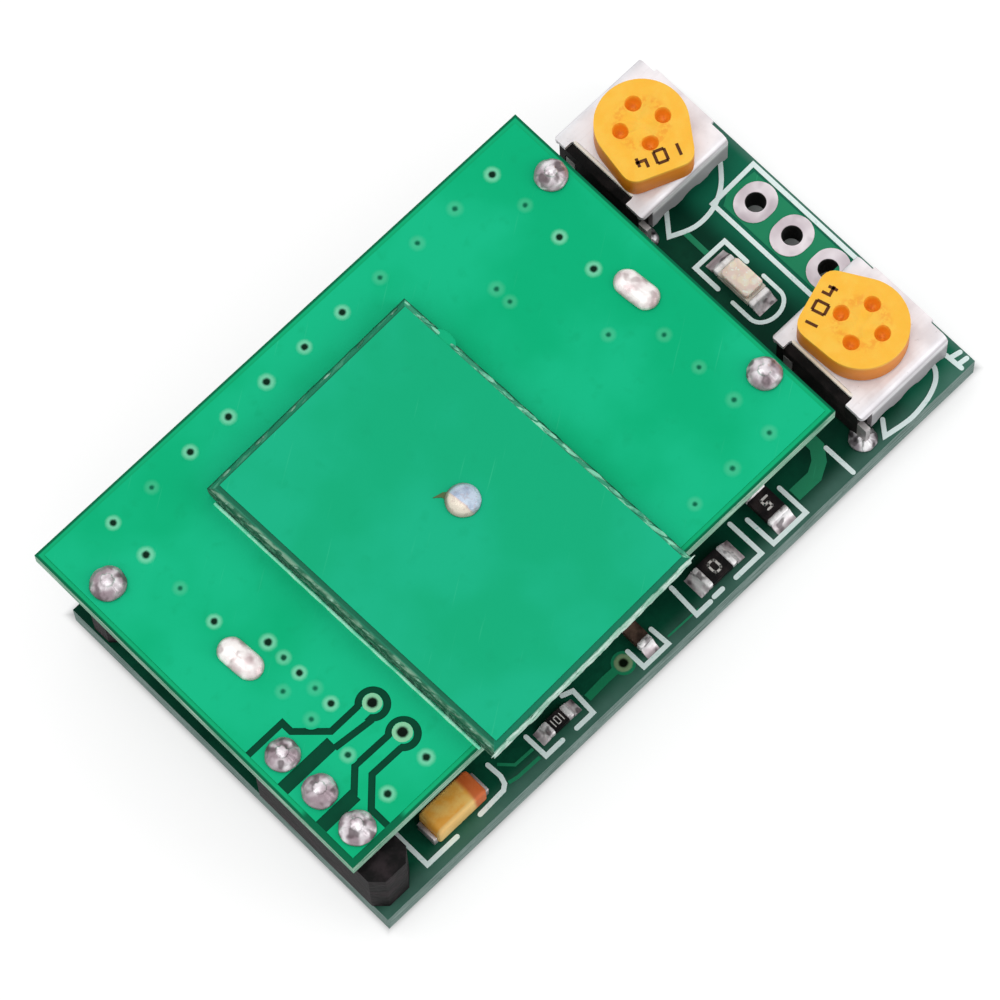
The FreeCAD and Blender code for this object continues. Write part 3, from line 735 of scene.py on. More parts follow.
@dataclass(frozen=True)
class LensFinish(Finish):
    """Milky resin with warm glints of the die under it."""

    resin: Colour = Colour(255, 246, 232)
    warm: Colour = Colour(255, 238, 212)
    rose: Colour = Colour(238, 210, 198)
    glint: Colour = Colour(255, 252, 240)
    warmth: Clouds = Clouds(0.5, 0.38, 0.62)
    glints: Clouds = Clouds(0.2, 0.6, 0.7, detail=2.0)

    def shade(self, graph: Graph) -> bpy.types.Material:
        """Broken facets of pale colours.

        Args:
            graph: the material's graph.

        Returns:
            The material.
        """
        facet = graph.cells(0.42)
        colour = graph.mix(graph.clouds(self.warmth), self.resin, self.warm)
        colour = graph.mix(facet.ramp(0.3, 0.62) * 0.7, colour, self.rose)
        colour = graph.mix(graph.clouds(self.glints), colour, self.glint)
        return graph.surface(colour, 0.2 + 0.2 * facet, 0.0, facet, 0.05, Subsurface_Weight=0.25,
                             Subsurface_Scale=0.0005)


@dataclass(frozen=True)
class CapacitorFinish(Finish):
    """Amber moulded body with a blurred red-brown band at its marked end, and a low side made paler by painted light.
    """

    centre: Point
    amber: Colour = Colour(252, 178, 66)
    pale: Colour = Colour(255, 206, 110)
    light: Colour = Colour(252, 214, 140)
    band: Colour = Colour(214, 92, 40)
    lit_low_side: Point = (-0.62, -0.5)
    band_starts: Point = (0.7, 1.0)

    def shade(self, graph: Graph) -> bpy.types.Material:
        """Amber with a band across it.

        Args:
            graph: the material's graph.

        Returns:
            The material.
        """
        local = graph.turned(self.centre)
        cloud = graph.noise(0.7, 4.0)
        colour = graph.mix(cloud.ramp(0.36, 0.66), self.amber, self.pale)
        # painted light: the low side paler than the rest
        colour = graph.mix((1.0 - graph.axis(1, local).ramp(*self.lit_low_side)) * 0.75, colour, self.light)
        stripe = (graph.axis(0, local) + 0.3 * (cloud - 0.5)).ramp(*self.band_starts)
        colour = graph.mix(stripe * 0.9, colour, self.band)
        return graph.surface(colour, 0.4 + 0.2 * cloud, 0.0, graph.noise(0.1), 0.012, Specular_IOR_Level=0.3)


@dataclass(frozen=True)
class InkFinish(Finish):
    """Thin ink with worn thin spots, where a little of the ground shows."""

    ink: Colour
    thin: Colour

    def shade(self, graph: Graph) -> bpy.types.Material:
        """Ink and its wear.

        Args:
            graph: the material's graph.

        Returns:
            The material.
        """
        wear = graph.noise(0.22, 4.0)
        colour = graph.mix(wear.ramp(0.58, 0.82), self.ink, self.thin)
        return graph.surface(colour, 0.5 + 0.2 * wear, 0.0, wear, 0.006, Specular_IOR_Level=0.2)


@dataclass(frozen=True)
class PlateFinish(Finish):
    """The milled strip round the patch, with the look that each of the plate's four sides has, partly painted light:
    pale streaks that are partly painted highlight, a painted shadow line along the outer edge and painted shade on the
    dark walls.
    """

    half_long: float
    half_wide: float
    dark: Colour = Colour(16, 100, 72)
    dark_pale: Colour = Colour(62, 132, 102)
    middle: Colour = Colour(54, 152, 116)
    pale: Colour = Colour(150, 226, 192)
    far_mask: Colour = Colour(20, 128, 96)
    far_dark: Colour = Colour(40, 104, 76)
    far_pale: Colour = Colour(132, 172, 146)
    high_mask: Colour = Colour(22, 146, 106)
    low_mask: Colour = Colour(12, 120, 90)
    torn: Colour = Colour(204, 232, 220)
    torn_green: Colour = Colour(120, 186, 158)
    wall: Colour = Colour(40, 84, 66)
    wall_pale: Colour = Colour(92, 140, 118)
    wall_clouds: Clouds = Clouds(0.3, 0.4, 0.66)
    fleck_turn: float = 6.0

    def fleck(self, graph: Graph, long_side: Value) -> Value:
        """Short strokes that run along each side.

        Args:
            graph: the material's graph.
            long_side: 1 along the plate's long sides, else 0.

        Returns:
            The strokes, from 0 to 1.
        """
        strokes = [graph.noise(0.7, 3.0, graph.turned(PLATE, PLATE_TURN + self.fleck_turn, stretch))
                   for stretch in ((0.8, 3.4, 1.0), (3.4, 0.8, 1.0))]
        return strokes[0].mixed(strokes[1], long_side)

    def shade(self, graph: Graph) -> bpy.types.Material:
        """Colour by distance from the rim, by side and by height.

        Args:
            graph: the material's graph.

        Returns:
            The material.
        """
        local = graph.turned(PLATE, PLATE_TURN)
        x, y = graph.axis(0, local), graph.axis(1, local)
        over_x, over_y = abs(x) - self.half_long, abs(y) - self.half_wide
        side = over_x.larger(over_y)
        long_side = (over_x - over_y).ramp(-0.03, 0.03)
        far = long_side * (1.0 - x.ramp(-1.0, 1.0))
        low = (1.0 - long_side) * (1.0 - y.ramp(-1.0, 1.0))
        high = (1.0 - long_side) * y.ramp(-1.0, 1.0)
        fleck = self.fleck(graph, long_side)
        # pale streaks on the near long side, partly torn fibre and partly painted highlight
        colour = graph.mix(fleck.ramp(0.5, 0.62), self.middle, self.pale)
        outward = graph.mix(fleck.ramp(0.4, 0.62), self.far_dark, self.far_pale)
        colour = graph.mix(far, colour, graph.mix(side.ramp(-0.36, -0.16), self.far_mask, outward))
        quiet = graph.mix(fleck.ramp(0.5, 0.7), self.dark, self.dark_pale)
        colour = graph.mix(high * 0.9, colour, graph.mix(0.5, quiet, self.high_mask))
        torn = graph.mix(fleck.ramp(0.45, 0.75), self.torn, self.torn_green)
        colour = graph.mix(low, colour, graph.mix(side.ramp(-0.12, -0.02), self.low_mask, torn))
        inner = (1.0 - side.ramp(-0.36, -0.3)) * (1.0 - low)
        # painted shadow: dark line along the outer edge
        rim_shadow_line = side.ramp(-0.12, -0.05) * (1.0 - low)
        colour = graph.mix(inner.larger(rim_shadow_line) * 0.85, colour, self.dark)
        # painted shade: the walls darker than the top, except on the low side
        wall = graph.mix(low, graph.mix(graph.clouds(self.wall_clouds), self.wall, self.wall_pale), torn)
        below = 1.0 - graph.axis(2).ramp(PLATE_TOP - 0.2, PLATE_TOP - 0.1)
        return graph.surface(graph.mix(below, colour, wall), 0.5 + 0.3 * fleck, 0.0, fleck, 0.05,
                             Specular_IOR_Level=0.2)


@dataclass(frozen=True)
class FibreFinish(Finish):
    """Pale torn strands of the plate's rim, which change along it."""

    pale: Colour
    dark: Colour
    share: float = 0.45
    glint: Colour = Colour(206, 240, 224)
    broad: Clouds = Clouds(0.8, 0.38, 0.62)

    def shade(self, graph: Graph) -> bpy.types.Material:
        """Strands with small glints.

        Args:
            graph: the material's graph.

        Returns:
            The material.
        """
        fine = graph.noise(0.3, 2.0)
        colour = graph.mix(graph.clouds(self.broad), self.dark, self.pale)
        colour = graph.mix(fine.ramp(0.5, 0.7) * self.share, colour, self.glint)
        return graph.surface(colour, 0.55 + 0.2 * fine, 0.0, fine, 0.02, Specular_IOR_Level=0.2)


# ---------------------------------------------------------------- modelling by operators


class Bench:
    """Modelling by operators, each time from a clean selection."""

    @staticmethod
    def clear() -> None:
        """Leave edit mode and deselect every object."""
        if bpy.context.mode != "OBJECT":
            bpy.ops.object.mode_set(mode="OBJECT")
        bpy.ops.object.select_all(action="DESELECT")

    @classmethod
    def take(cls, piece: Piece) -> None:
        """Make one object the only selected and active one.

        Args:
            piece: the piece.
        """
        cls.clear()
        piece.select_set(True)
        bpy.context.view_layer.objects.active = piece

    @classmethod
    def edit(cls, piece: Piece) -> None:
        """Open one object in edit mode with all of it selected.

        Args:
            piece: the piece.
        """
        cls.take(piece)
        bpy.ops.object.mode_set(mode="EDIT")
        bpy.ops.mesh.select_all(action="SELECT")

    @classmethod
    def start(cls, operator: Callable, **settings: object) -> Piece:
        """Add a primitive and open it in edit mode.

        Args:
            operator: what adds it.
            settings: the operator's settings, in metres.

        Returns:
            The new object.
        """
        cls.clear()
        operator(**settings)
        piece = bpy.context.view_layer.objects.active
        cls.edit(piece)
        return piece

    @classmethod
    def ball(cls, radius: float, segments: int, rings: int) -> Piece:
        """Add a ball of a radius in millimetres and open it."""
        return cls.start(bpy.ops.mesh.primitive_uv_sphere_add, segments=segments, ring_count=rings,
                         radius=radius * MM)

    @staticmethod
    def pick(kind: Pick, test: Callable[[Vector, Vector], bool]) -> None:
        """Select parts of the open mesh by their place, in millimetres, and normal.

        Args:
            kind: faces, edges or points.
            test: takes the middle and the normal of a part.
        """
        bpy.ops.mesh.select_mode(type=kind.value)
        bpy.ops.mesh.select_all(action="DESELECT")
        data = bpy.context.edit_object.data
        mesh = bmesh.from_edit_mesh(data)
        mesh.normal_update()
        if kind is Pick.FACES:
            parts = [(face, face.calc_center_median(), face.normal) for face in mesh.faces]
        elif kind is Pick.EDGES:
            parts = [(edge, (edge.verts[0].co + edge.verts[1].co) / 2, Vector()) for edge in mesh.edges]
        else:
            parts = [(point, point.co.copy(), point.normal) for point in mesh.verts]
        for part, middle, normal in parts:
            if test(middle / MM, normal):
                part.select_set(True)
        mesh.select_flush_mode()
        bmesh.update_edit_mesh(data)

    @staticmethod
    def move(x: float, y: float, z: float) -> None:
        """Move what is selected, in millimetres."""
        bpy.ops.transform.translate(value=(x * MM, y * MM, z * MM))

    @staticmethod
    def grow(x: float, y: float, z: float) -> None:
        """Scale what is selected about its middle."""
        bpy.ops.transform.resize(value=(x, y, z))

    @classmethod
    def settle(cls, piece: Piece, name: str, smooth: float | None = None) -> Piece:
        """Put the place into the mesh, name the piece and smooth it.

        Args:
            piece: the object.
            name: its name.
            smooth: the largest angle in degrees that is smoothed, or None to leave the faces as they are.

        Returns:
            The object.
        """
        cls.take(piece)
        bpy.ops.object.transform_apply(location=True, rotation=True, scale=True)
        piece.name = name
        piece.data.name = name
        if smooth is not None:
            bpy.ops.object.shade_smooth_by_angle(angle=math.radians(smooth))
        return piece

    @classmethod
    def change(cls, piece: Piece, kind: str, **settings: object) -> None:
        """Give a piece one modifier with its settings and apply it.

        Args:
            piece: the piece.
            kind: the modifier's type.
            settings: the modifier's settings.
        """
        cls.take(piece)
        modifier = piece.modifiers.new(kind.lower(), kind)
        for key, value in settings.items():
            setattr(modifier, key, value)
        bpy.ops.object.modifier_apply(modifier=modifier.name)

    @classmethod
    def roughen(cls, piece: Piece, size: float, depth: float, group: str = "") -> None:
        """Displace the mesh along its normals with clouds.

        Args:
            piece: the object.
            size: the size of a cloud in millimetres.
            depth: the full depth in millimetres.
            group: a vertex group that limits it.
        """
        cloud = bpy.data.textures.new("clouds", "CLOUDS")
        cloud.noise_scale = size * MM
        cloud.noise_depth = 2
        cls.change(piece, "DISPLACE", texture=cloud, texture_coords="LOCAL", strength=depth * MM, mid_level=0.5,
                   vertex_group=group)

    @classmethod
    def soften(cls, piece: Piece, width: float, angle: float = 50.0) -> None:
        """Round the edges that are sharper than an angle, in degrees, by a width in millimetres."""
        cls.change(piece, "BEVEL", width=width * MM, segments=3, limit_method="ANGLE",
                   angle_limit=math.radians(angle))

    @classmethod
    def copy_to(cls, piece: Piece, at: Triple, turn: float, grow: float = 1.0, flip: bool = False) -> Piece:
        """Copy a piece with its own mesh to a place, with the place in the mesh.

        Args:
            piece: the piece, modelled at the origin.
            at: where it goes, in millimetres.
            turn: its turn in degrees.
            grow: its scale.
            flip: True to hang it upside down.

        Returns:
            The copy.
        """
        copy = piece.copy()
        copy.data = piece.data.copy()
        bpy.context.collection.objects.link(copy)
        over = Matrix.Rotation(math.pi, 4, "X") if flip else Matrix.Identity(4)
        copy.data.transform(placed(at, turn) @ over @ Matrix.Scale(grow, 4))
        return copy

    @classmethod
    def scatter(cls, pattern: Piece, spots: Path, z: float, name: str, spin: Spin, flip: bool = False) -> Piece:
        """Copy a pattern to every spot and join the copies.

        Args:
            pattern: the piece, modelled at the origin.
            spots: where the copies go.
            z: their height.
            name: the joined piece's name.
            spin: how each is turned and grown.
            flip: True to hang them upside down.

        Returns:
            The joined piece.
        """
        copies = [cls.copy_to(pattern, (x, y, z), spin.start + spin.step * i,
                              spin.least + spin.growth * (i % spin.cycle), flip) for i, (x, y) in enumerate(spots)]
        return cls.join(copies, name)

    @classmethod
    def join(cls, pieces: list[Piece], name: str) -> Piece:
        """Join pieces into one object.

        Args:
            pieces: the pieces, the first of which takes in the others.
            name: its name.

        Returns:
            The joined piece.
        """
        cls.clear()
        for piece in pieces:
            piece.select_set(True)
        bpy.context.view_layer.objects.active = pieces[0]
        if len(pieces) > 1:
            bpy.ops.object.join()
        return cls.settle(pieces[0], name)

    @classmethod
    def soft_copy(cls, node: str, width: float) -> Piece:
        """Copy a CAD node's mesh into a new piece with edges rounded by a width in millimetres.

        Args:
            node: the node's name.
            width: how wide each rounding is, in millimetres.

        Returns:
            The copy.
        """
        name = node + "_soft"
        piece = bpy.data.objects.new(name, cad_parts[node].data.copy())
        bpy.context.collection.objects.link(piece)
        cls.edit(piece)
        bpy.ops.mesh.customdata_custom_splitnormals_clear()
        bpy.ops.mesh.remove_doubles(threshold=0.001 * MM)
        bpy.ops.mesh.dissolve_limited(angle_limit=math.radians(1.0))
        cls.soften(piece, width, 30.0)
        return cls.settle(piece, name, 50.0)

    @staticmethod
    def drop(*pieces: Piece) -> None:
        """Remove pattern pieces that were only copied."""
        for piece in pieces:
            bpy.data.objects.remove(piece, do_unlink=True)

    @classmethod
    def outline(cls, rings: list[Path], z: float, thick: float) -> Piece:
        """A flat filled outline made a mesh.

        Args:
            rings: closed runs of points in millimetres; a run inside another is a hole.
            z: the height of its foot.
            thick: its thickness.

        Returns:
            The piece.
        """
        curve = bpy.data.curves.new("outline", "CURVE")
        curve.dimensions = "2D"
        curve.fill_mode = "BOTH"
        curve.extrude = thick * MM / 2
        for ring in rings:
            spline = curve.splines.new("POLY")
            spline.points.add(len(ring) - 1)
            for point, (x, y) in zip(spline.points, ring):
                point.co = (x * MM, y * MM, 0.0, 1.0)
            spline.use_cyclic_u = True
        piece = bpy.data.objects.new("outline", curve)
        bpy.context.collection.objects.link(piece)
        cls.take(piece)
        bpy.ops.object.convert(target="MESH")
        piece = bpy.context.view_layer.objects.active
        piece.data.transform(placed((0.0, 0.0, z + thick / 2)))
        return piece


def placed(at: Triple, turn: float = 0.0) -> Matrix:
    """The matrix that turns about Z, in degrees, and then moves, in millimetres."""
    return Matrix.Translation((at[0] * MM, at[1] * MM, at[2] * MM)) @ Matrix.Rotation(math.radians(turn), 4, "Z")


def polar(centre: Point, radius: float, angle: float) -> Point:
    """The point of a circle at an angle in radians."""
    return (centre[0] + radius * math.cos(angle), centre[1] + radius * math.sin(angle))


def circle(centre: Point, radius: float, sides: int = 24) -> Path:
    """The outline of a round disc."""
    return [polar(centre, radius, 2 * math.pi * i / sides) for i in range(sides)]


def shifted(path: Path | Points, by: Point) -> Path:
    """The points moved by one step."""
    return [(x + by[0], y + by[1]) for x, y in path]


def round_end(inner: Point, end: Point, width: float, points: int) -> Path:
    """The points of a half circle that rounds off a band's end, from its left side to its right."""
    start = math.atan2(end[1] - inner[1], end[0] - inner[0]) + math.pi / 2
    return [polar(end, width / 2, start - math.pi * (i + 1) / (points + 1)) for i in range(points)]


def ribbon(path: Path | Points, width: float, caps: int = 0) -> Path:
    """The closed outline of a band that follows a path.

    Args:
        path: the middle of the band.
        width: its width.
        caps: how many points round off each end, or 0 for square ends.

    Returns:
        The outline, once round.
    """
    left: Path = []
    right: Path = []
    for i, (x, y) in enumerate(path):
        before = Vector(path[i]) - Vector(path[i - 1]) if i > 0 else Vector(path[1]) - Vector(path[0])
        after = Vector(path[i + 1]) - Vector(path[i]) if i < len(path) - 1 else before
        before.normalize()
        after.normalize()
        middle = (before + after).normalized()
        reach = width / 2 / max(0.35, middle.dot(after))
        left.append((x - middle.y * reach, y + middle.x * reach))
        right.append((x + middle.y * reach, y - middle.x * reach))
    return left + round_end(path[-2], path[-1], width, caps) + right[::-1] + round_end(path[1], path[0], width, caps)


def arc(points: Points, steps: int = 5) -> Path:
    """A smooth line through three points or more, each run divided in steps.

    Args:
        points: the points that it passes.
        steps: how many short lines stand for one run.

    Returns:
        The points of the smooth line.
    """
    ends = [points[0], *points, points[-1]]
    line: Path = []
    for near in zip(ends, ends[1:], ends[2:], ends[3:]):
        for i in range(steps):
            t = i / steps
            weight = (-0.5 * t + t * t - 0.5 * t ** 3, 1 - 2.5 * t * t + 1.5 * t ** 3,
                      0.5 * t + 2 * t * t - 1.5 * t ** 3, -0.5 * t * t + 0.5 * t ** 3)
            line.append((sum(w * p[0] for w, p in zip(weight, near)), sum(w * p[1] for w, p in zip(weight, near))))
    return line + [points[-1]]


def dress(piece: Piece, finish: Finish, body: Body = Body.MODULE, replaces: tuple[str, ...] = ()) -> None:
    """Give a piece its finish, its body and the nodes it stands for.

    Args:
        piece: the finished piece.
        finish: its finish.
        body: the body it rides on.
        replaces: CAD nodes that it stands for.
    """
    piece.data.materials.clear()
    piece.data.materials.append(material(finish))
    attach(piece, body.value)
    if replaces:
        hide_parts(*replaces)
    LOG.info("piece %s: %d faces", piece.name, len(piece.data.polygons))


def paint_node(name: str, finish: Finish) -> None:
    """Give a CAD node its finish through its material slots.

    Args:
        name: its name.
        finish: its finish.
    """
    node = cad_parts[name]
    if not node.material_slots:
        node.data.materials.append(material(finish))
    for slot in node.material_slots:
        slot.material = material(finish)
    LOG.info("node %s: %s", name, finish.name)


# ---------------------------------------------------------------- sub-assemblies


@dataclass
class Solder:
    """Every rough solder joint of the module."""

    pin_spots: Points = ((-14.7, -4.68), (-14.7, -7.22), (-14.7, -9.76), (15.12, 7.4), (15.12, -7.27), (-14.7, 7.4))
    oval_spots: Points = ((13.845, 0.2), (-12.805, 0.2))
    leg_spots: Points = ((13.25, 5.025), (13.25, 10.105), (13.35, -10.005), (13.35, -4.925))
    rear_spots: Points = ((19.25, 7.44), (19.35, -7.59))
    feed_spots: Points = ((0.05, -1.87),)
    flake: Points = ((-4.6, -0.55), (-4.28, -0.2), (-4.5, -0.02), (-5.05, 0.12), (-4.72, -0.16))
    pin_size: Point = (0.88, 0.72)
    leg_size: Point = (0.7, 0.5)
    feed_size: Point = (0.86, 0.53)
    oval_long: float = 2.6
    oval_wide: float = 1.45
    oval_height: float = 0.5
    creases: tuple[float, ...] = (25.0, 98.0, 160.0, 236.0, 305.0)
    crease_in: float = 0.03
    crease_down: float = 0.06
    dent: float = 0.7
    pin_rough: float = 0.1
    pin_tip: float = 0.08
    leg_rough: float = 0.12
    smooth_rough: float = 0.05
    flake_thick: float = 0.03
    lumps: Spin = Spin(47.0, 71.0, 0.96, 0.025, 3)
    ovals: Spin = Spin(4.0, 180.0)

    @staticmethod
    def dome(radius: float, segments: int, rings: int) -> Piece:
        """Open the upper half of a ball.

        Args:
            radius: its radius in millimetres.
            segments: how many sides it has.
            rings: how many rings it has.

        Returns:
            The piece.
        """
        piece = Bench.ball(radius, segments, rings)
        bpy.ops.mesh.bisect(plane_co=(0, 0, 0.02 * MM), plane_no=(0, 0, 1), clear_inner=True, use_fill=True,
                            threshold=0.001 * MM)
        bpy.ops.mesh.select_all(action="SELECT")
        bpy.ops.mesh.normals_make_consistent(inside=False)
        return piece

    def lump(self, size: Point, rough: float, tip: float = 0.0, creased: bool = True) -> Piece:
        """Model one round joint at the origin with its foot at height zero.

        Args:
            size: the radius of its foot and its height.
            rough: the depth of its dents.
            tip: how far the pin's tip stands out.
            creased: whether creases run down its flanks.

        Returns:
            The joint.
        """
        radius, height = size
        piece = self.dome(radius, 36, 24)
        Bench.grow(1.0, 1.0, height / radius * 0.9)
        Bench.pick(Pick.POINTS, lambda at, way: at.xy.length > radius * 0.93)
        Bench.grow(1.05, 1.05, 1.0)
        for angle in self.creases if creased else ():
            way_in = Vector(polar((0.0, 0.0), 1.0, math.radians(angle)))
            Bench.pick(Pick.POINTS, lambda at, way: at.z > 0.1 and radius * 0.3 < at.xy.length
                       and at.xy.normalized().dot(way_in) > 0.988)
            Bench.move(-way_in.x * self.crease_in, -way_in.y * self.crease_in, -self.crease_down)
        if tip > 0:
            Bench.pick(Pick.FACES, lambda at, way: at.xy.length < radius * 0.36 and way.z > 0.3)
            bpy.ops.mesh.extrude_region_move(TRANSFORM_OT_translate={"value": (0, 0, tip * MM)})
            bpy.ops.mesh.inset(thickness=0.05 * MM)
        return self.finished(piece, rough)

    def oval(self) -> Piece:
        """Model one oblong joint, higher at one end, with a crease across it.

        Returns:
            The piece.
        """
        piece = self.dome(self.oval_wide / 2, 48, 28)
        reach = (self.oval_long - self.oval_wide) / 2
        for way in (-1, 1):
            Bench.pick(Pick.POINTS, lambda at, normal: at.y * way > 0.01)
            Bench.move(0.0, way * reach, 0.0)
        bpy.ops.mesh.select_all(action="SELECT")
        Bench.grow(1.0, 1.0, self.oval_height / (self.oval_wide / 2) * 0.85)
        Bench.pick(Pick.POINTS, lambda at, normal: at.y < -0.5 and at.z > 0.1)
        Bench.move(0.0, 0.0, 0.06)
        Bench.pick(Pick.POINTS, lambda at, normal: abs(at.y - 0.36) < 0.1 and at.z > 0.12)
        Bench.move(0.0, 0.0, -0.1)
        return self.finished(piece, self.smooth_rough)

    def finished(self, piece: Piece, rough: float) -> Piece:
        """Round, dent and smooth one joint, and set its foot at height zero.

        Args:
            piece: the piece.
            rough: the depth of its dents.

        Returns:
            The piece.
        """
        Bench.change(piece, "SUBSURF", levels=1, render_levels=1)
        Bench.roughen(piece, self.dent, rough)
        Bench.settle(piece, "joint", 80.0)
        foot = min(point.co.z for point in piece.data.vertices)
        piece.data.transform(Matrix.Translation((0, 0, -foot)))
        return piece

    def build(self) -> None:
        """Make and dress all joints."""
        # each solder finish paints light: a lighter crown colour as painted highlight, darker flank and crease colours
        # as painted shade
        rough = SolderFinish("solder_rough", COPPER_TOP, 0.68, Colour(244, 238, 242), Colour(162, 144, 152),
                             Colour(84, 70, 74), 0.75, 0.45, 0.24, 0.48, 0.8)
        legs = SolderFinish("solder_legs", MAIN_TOP, 0.5, Colour(250, 248, 250), Colour(132, 124, 130),
                            Colour(40, 34, 38), 0.6, 0.6, 0.2, 0.4, 0.8)
        shiny = SolderFinish("solder_shiny", COPPER_TOP, 0.36, Colour(252, 247, 245), Colour(212, 192, 193),
                             Colour(146, 120, 120), 0.75, 0.4, 0.24, 0.4, 0.5)
        white = FeedFinish("solder_feed", PATCH_TOP, 0.5, Colour(196, 210, 226), Colour(160, 174, 196), roughness=0.3)
        pin, leg = self.lump(self.pin_size, self.pin_rough, self.pin_tip), self.lump(self.leg_size, self.leg_rough)
        oval, feed = self.oval(), self.lump(self.feed_size, self.smooth_rough, creased=False)
        for pattern, spots, centre, z, spin, finish, name, node in (
                (pin, self.pin_spots, ANTENNA, COPPER_TOP, self.lumps, rough, "antenna_joints", "top_solder"),
                (leg, self.leg_spots, MAIN, MAIN_TOP, self.lumps, legs, "trimmer_joints", "leg_solder"),
                (oval, self.oval_spots, ANTENNA, COPPER_TOP, self.ovals, shiny, "can_joints", "can_solder"),
                (feed, self.feed_spots, ANTENNA, PATCH_TOP, Spin(20.0), white, "feed_joint", "feed_solder")):
            dress(Bench.scatter(pattern, shifted(spots, centre), z, name, spin), finish, replaces=(node,))
        self.build_under(pin, leg)
        Bench.drop(pin, leg, oval, feed)
        flake = Bench.outline([self.flake], PATCH_TOP, self.flake_thick)
        Bench.roughen(flake, 0.3, self.flake_thick)
        dress(Bench.settle(flake, "flux_flake", 60.0), InkFinish("flux_brown", Colour(86, 106, 66),
                                                                 Colour(24, 132, 96)))

    def build_under(self, pin: Piece, leg: Piece) -> None:
        """Hang the joints under the main board, the module's feet, no lower than height zero.

        Args:
            pin: the pattern of a pin's joint.
            leg: the pattern of a leg's joint.
        """
        pins, legs = shifted(self.pin_spots, BOARD_SHIFT), self.leg_spots + self.rear_spots
        low = Bench.scatter(pin, shifted(pins, MAIN), MAIN_UNDER, "under_pin_joints", self.lumps, True)
        small = Bench.scatter(leg, shifted(legs, MAIN), MAIN_UNDER, "under_leg_joints", self.lumps, True)
        joined = Bench.join([low, small], "under_joints")
        deepest = min(point.co.z for point in joined.data.vertices)
        if deepest < 0:
            under = MAIN_UNDER * MM
            joined.data.transform(Matrix.Translation((0, 0, under)) @ Matrix.Diagonal(
                (1, 1, under / (under - deepest), 1)) @ Matrix.Translation((0, 0, -under)))
        # painted light on the hanging joints too: lighter crown, darker flanks and crease shade
        dress(joined, SolderFinish("solder_under", MAIN_UNDER, -0.75, Colour(236, 232, 234), Colour(180, 168, 172)),
              replaces=("bottom_solder",))


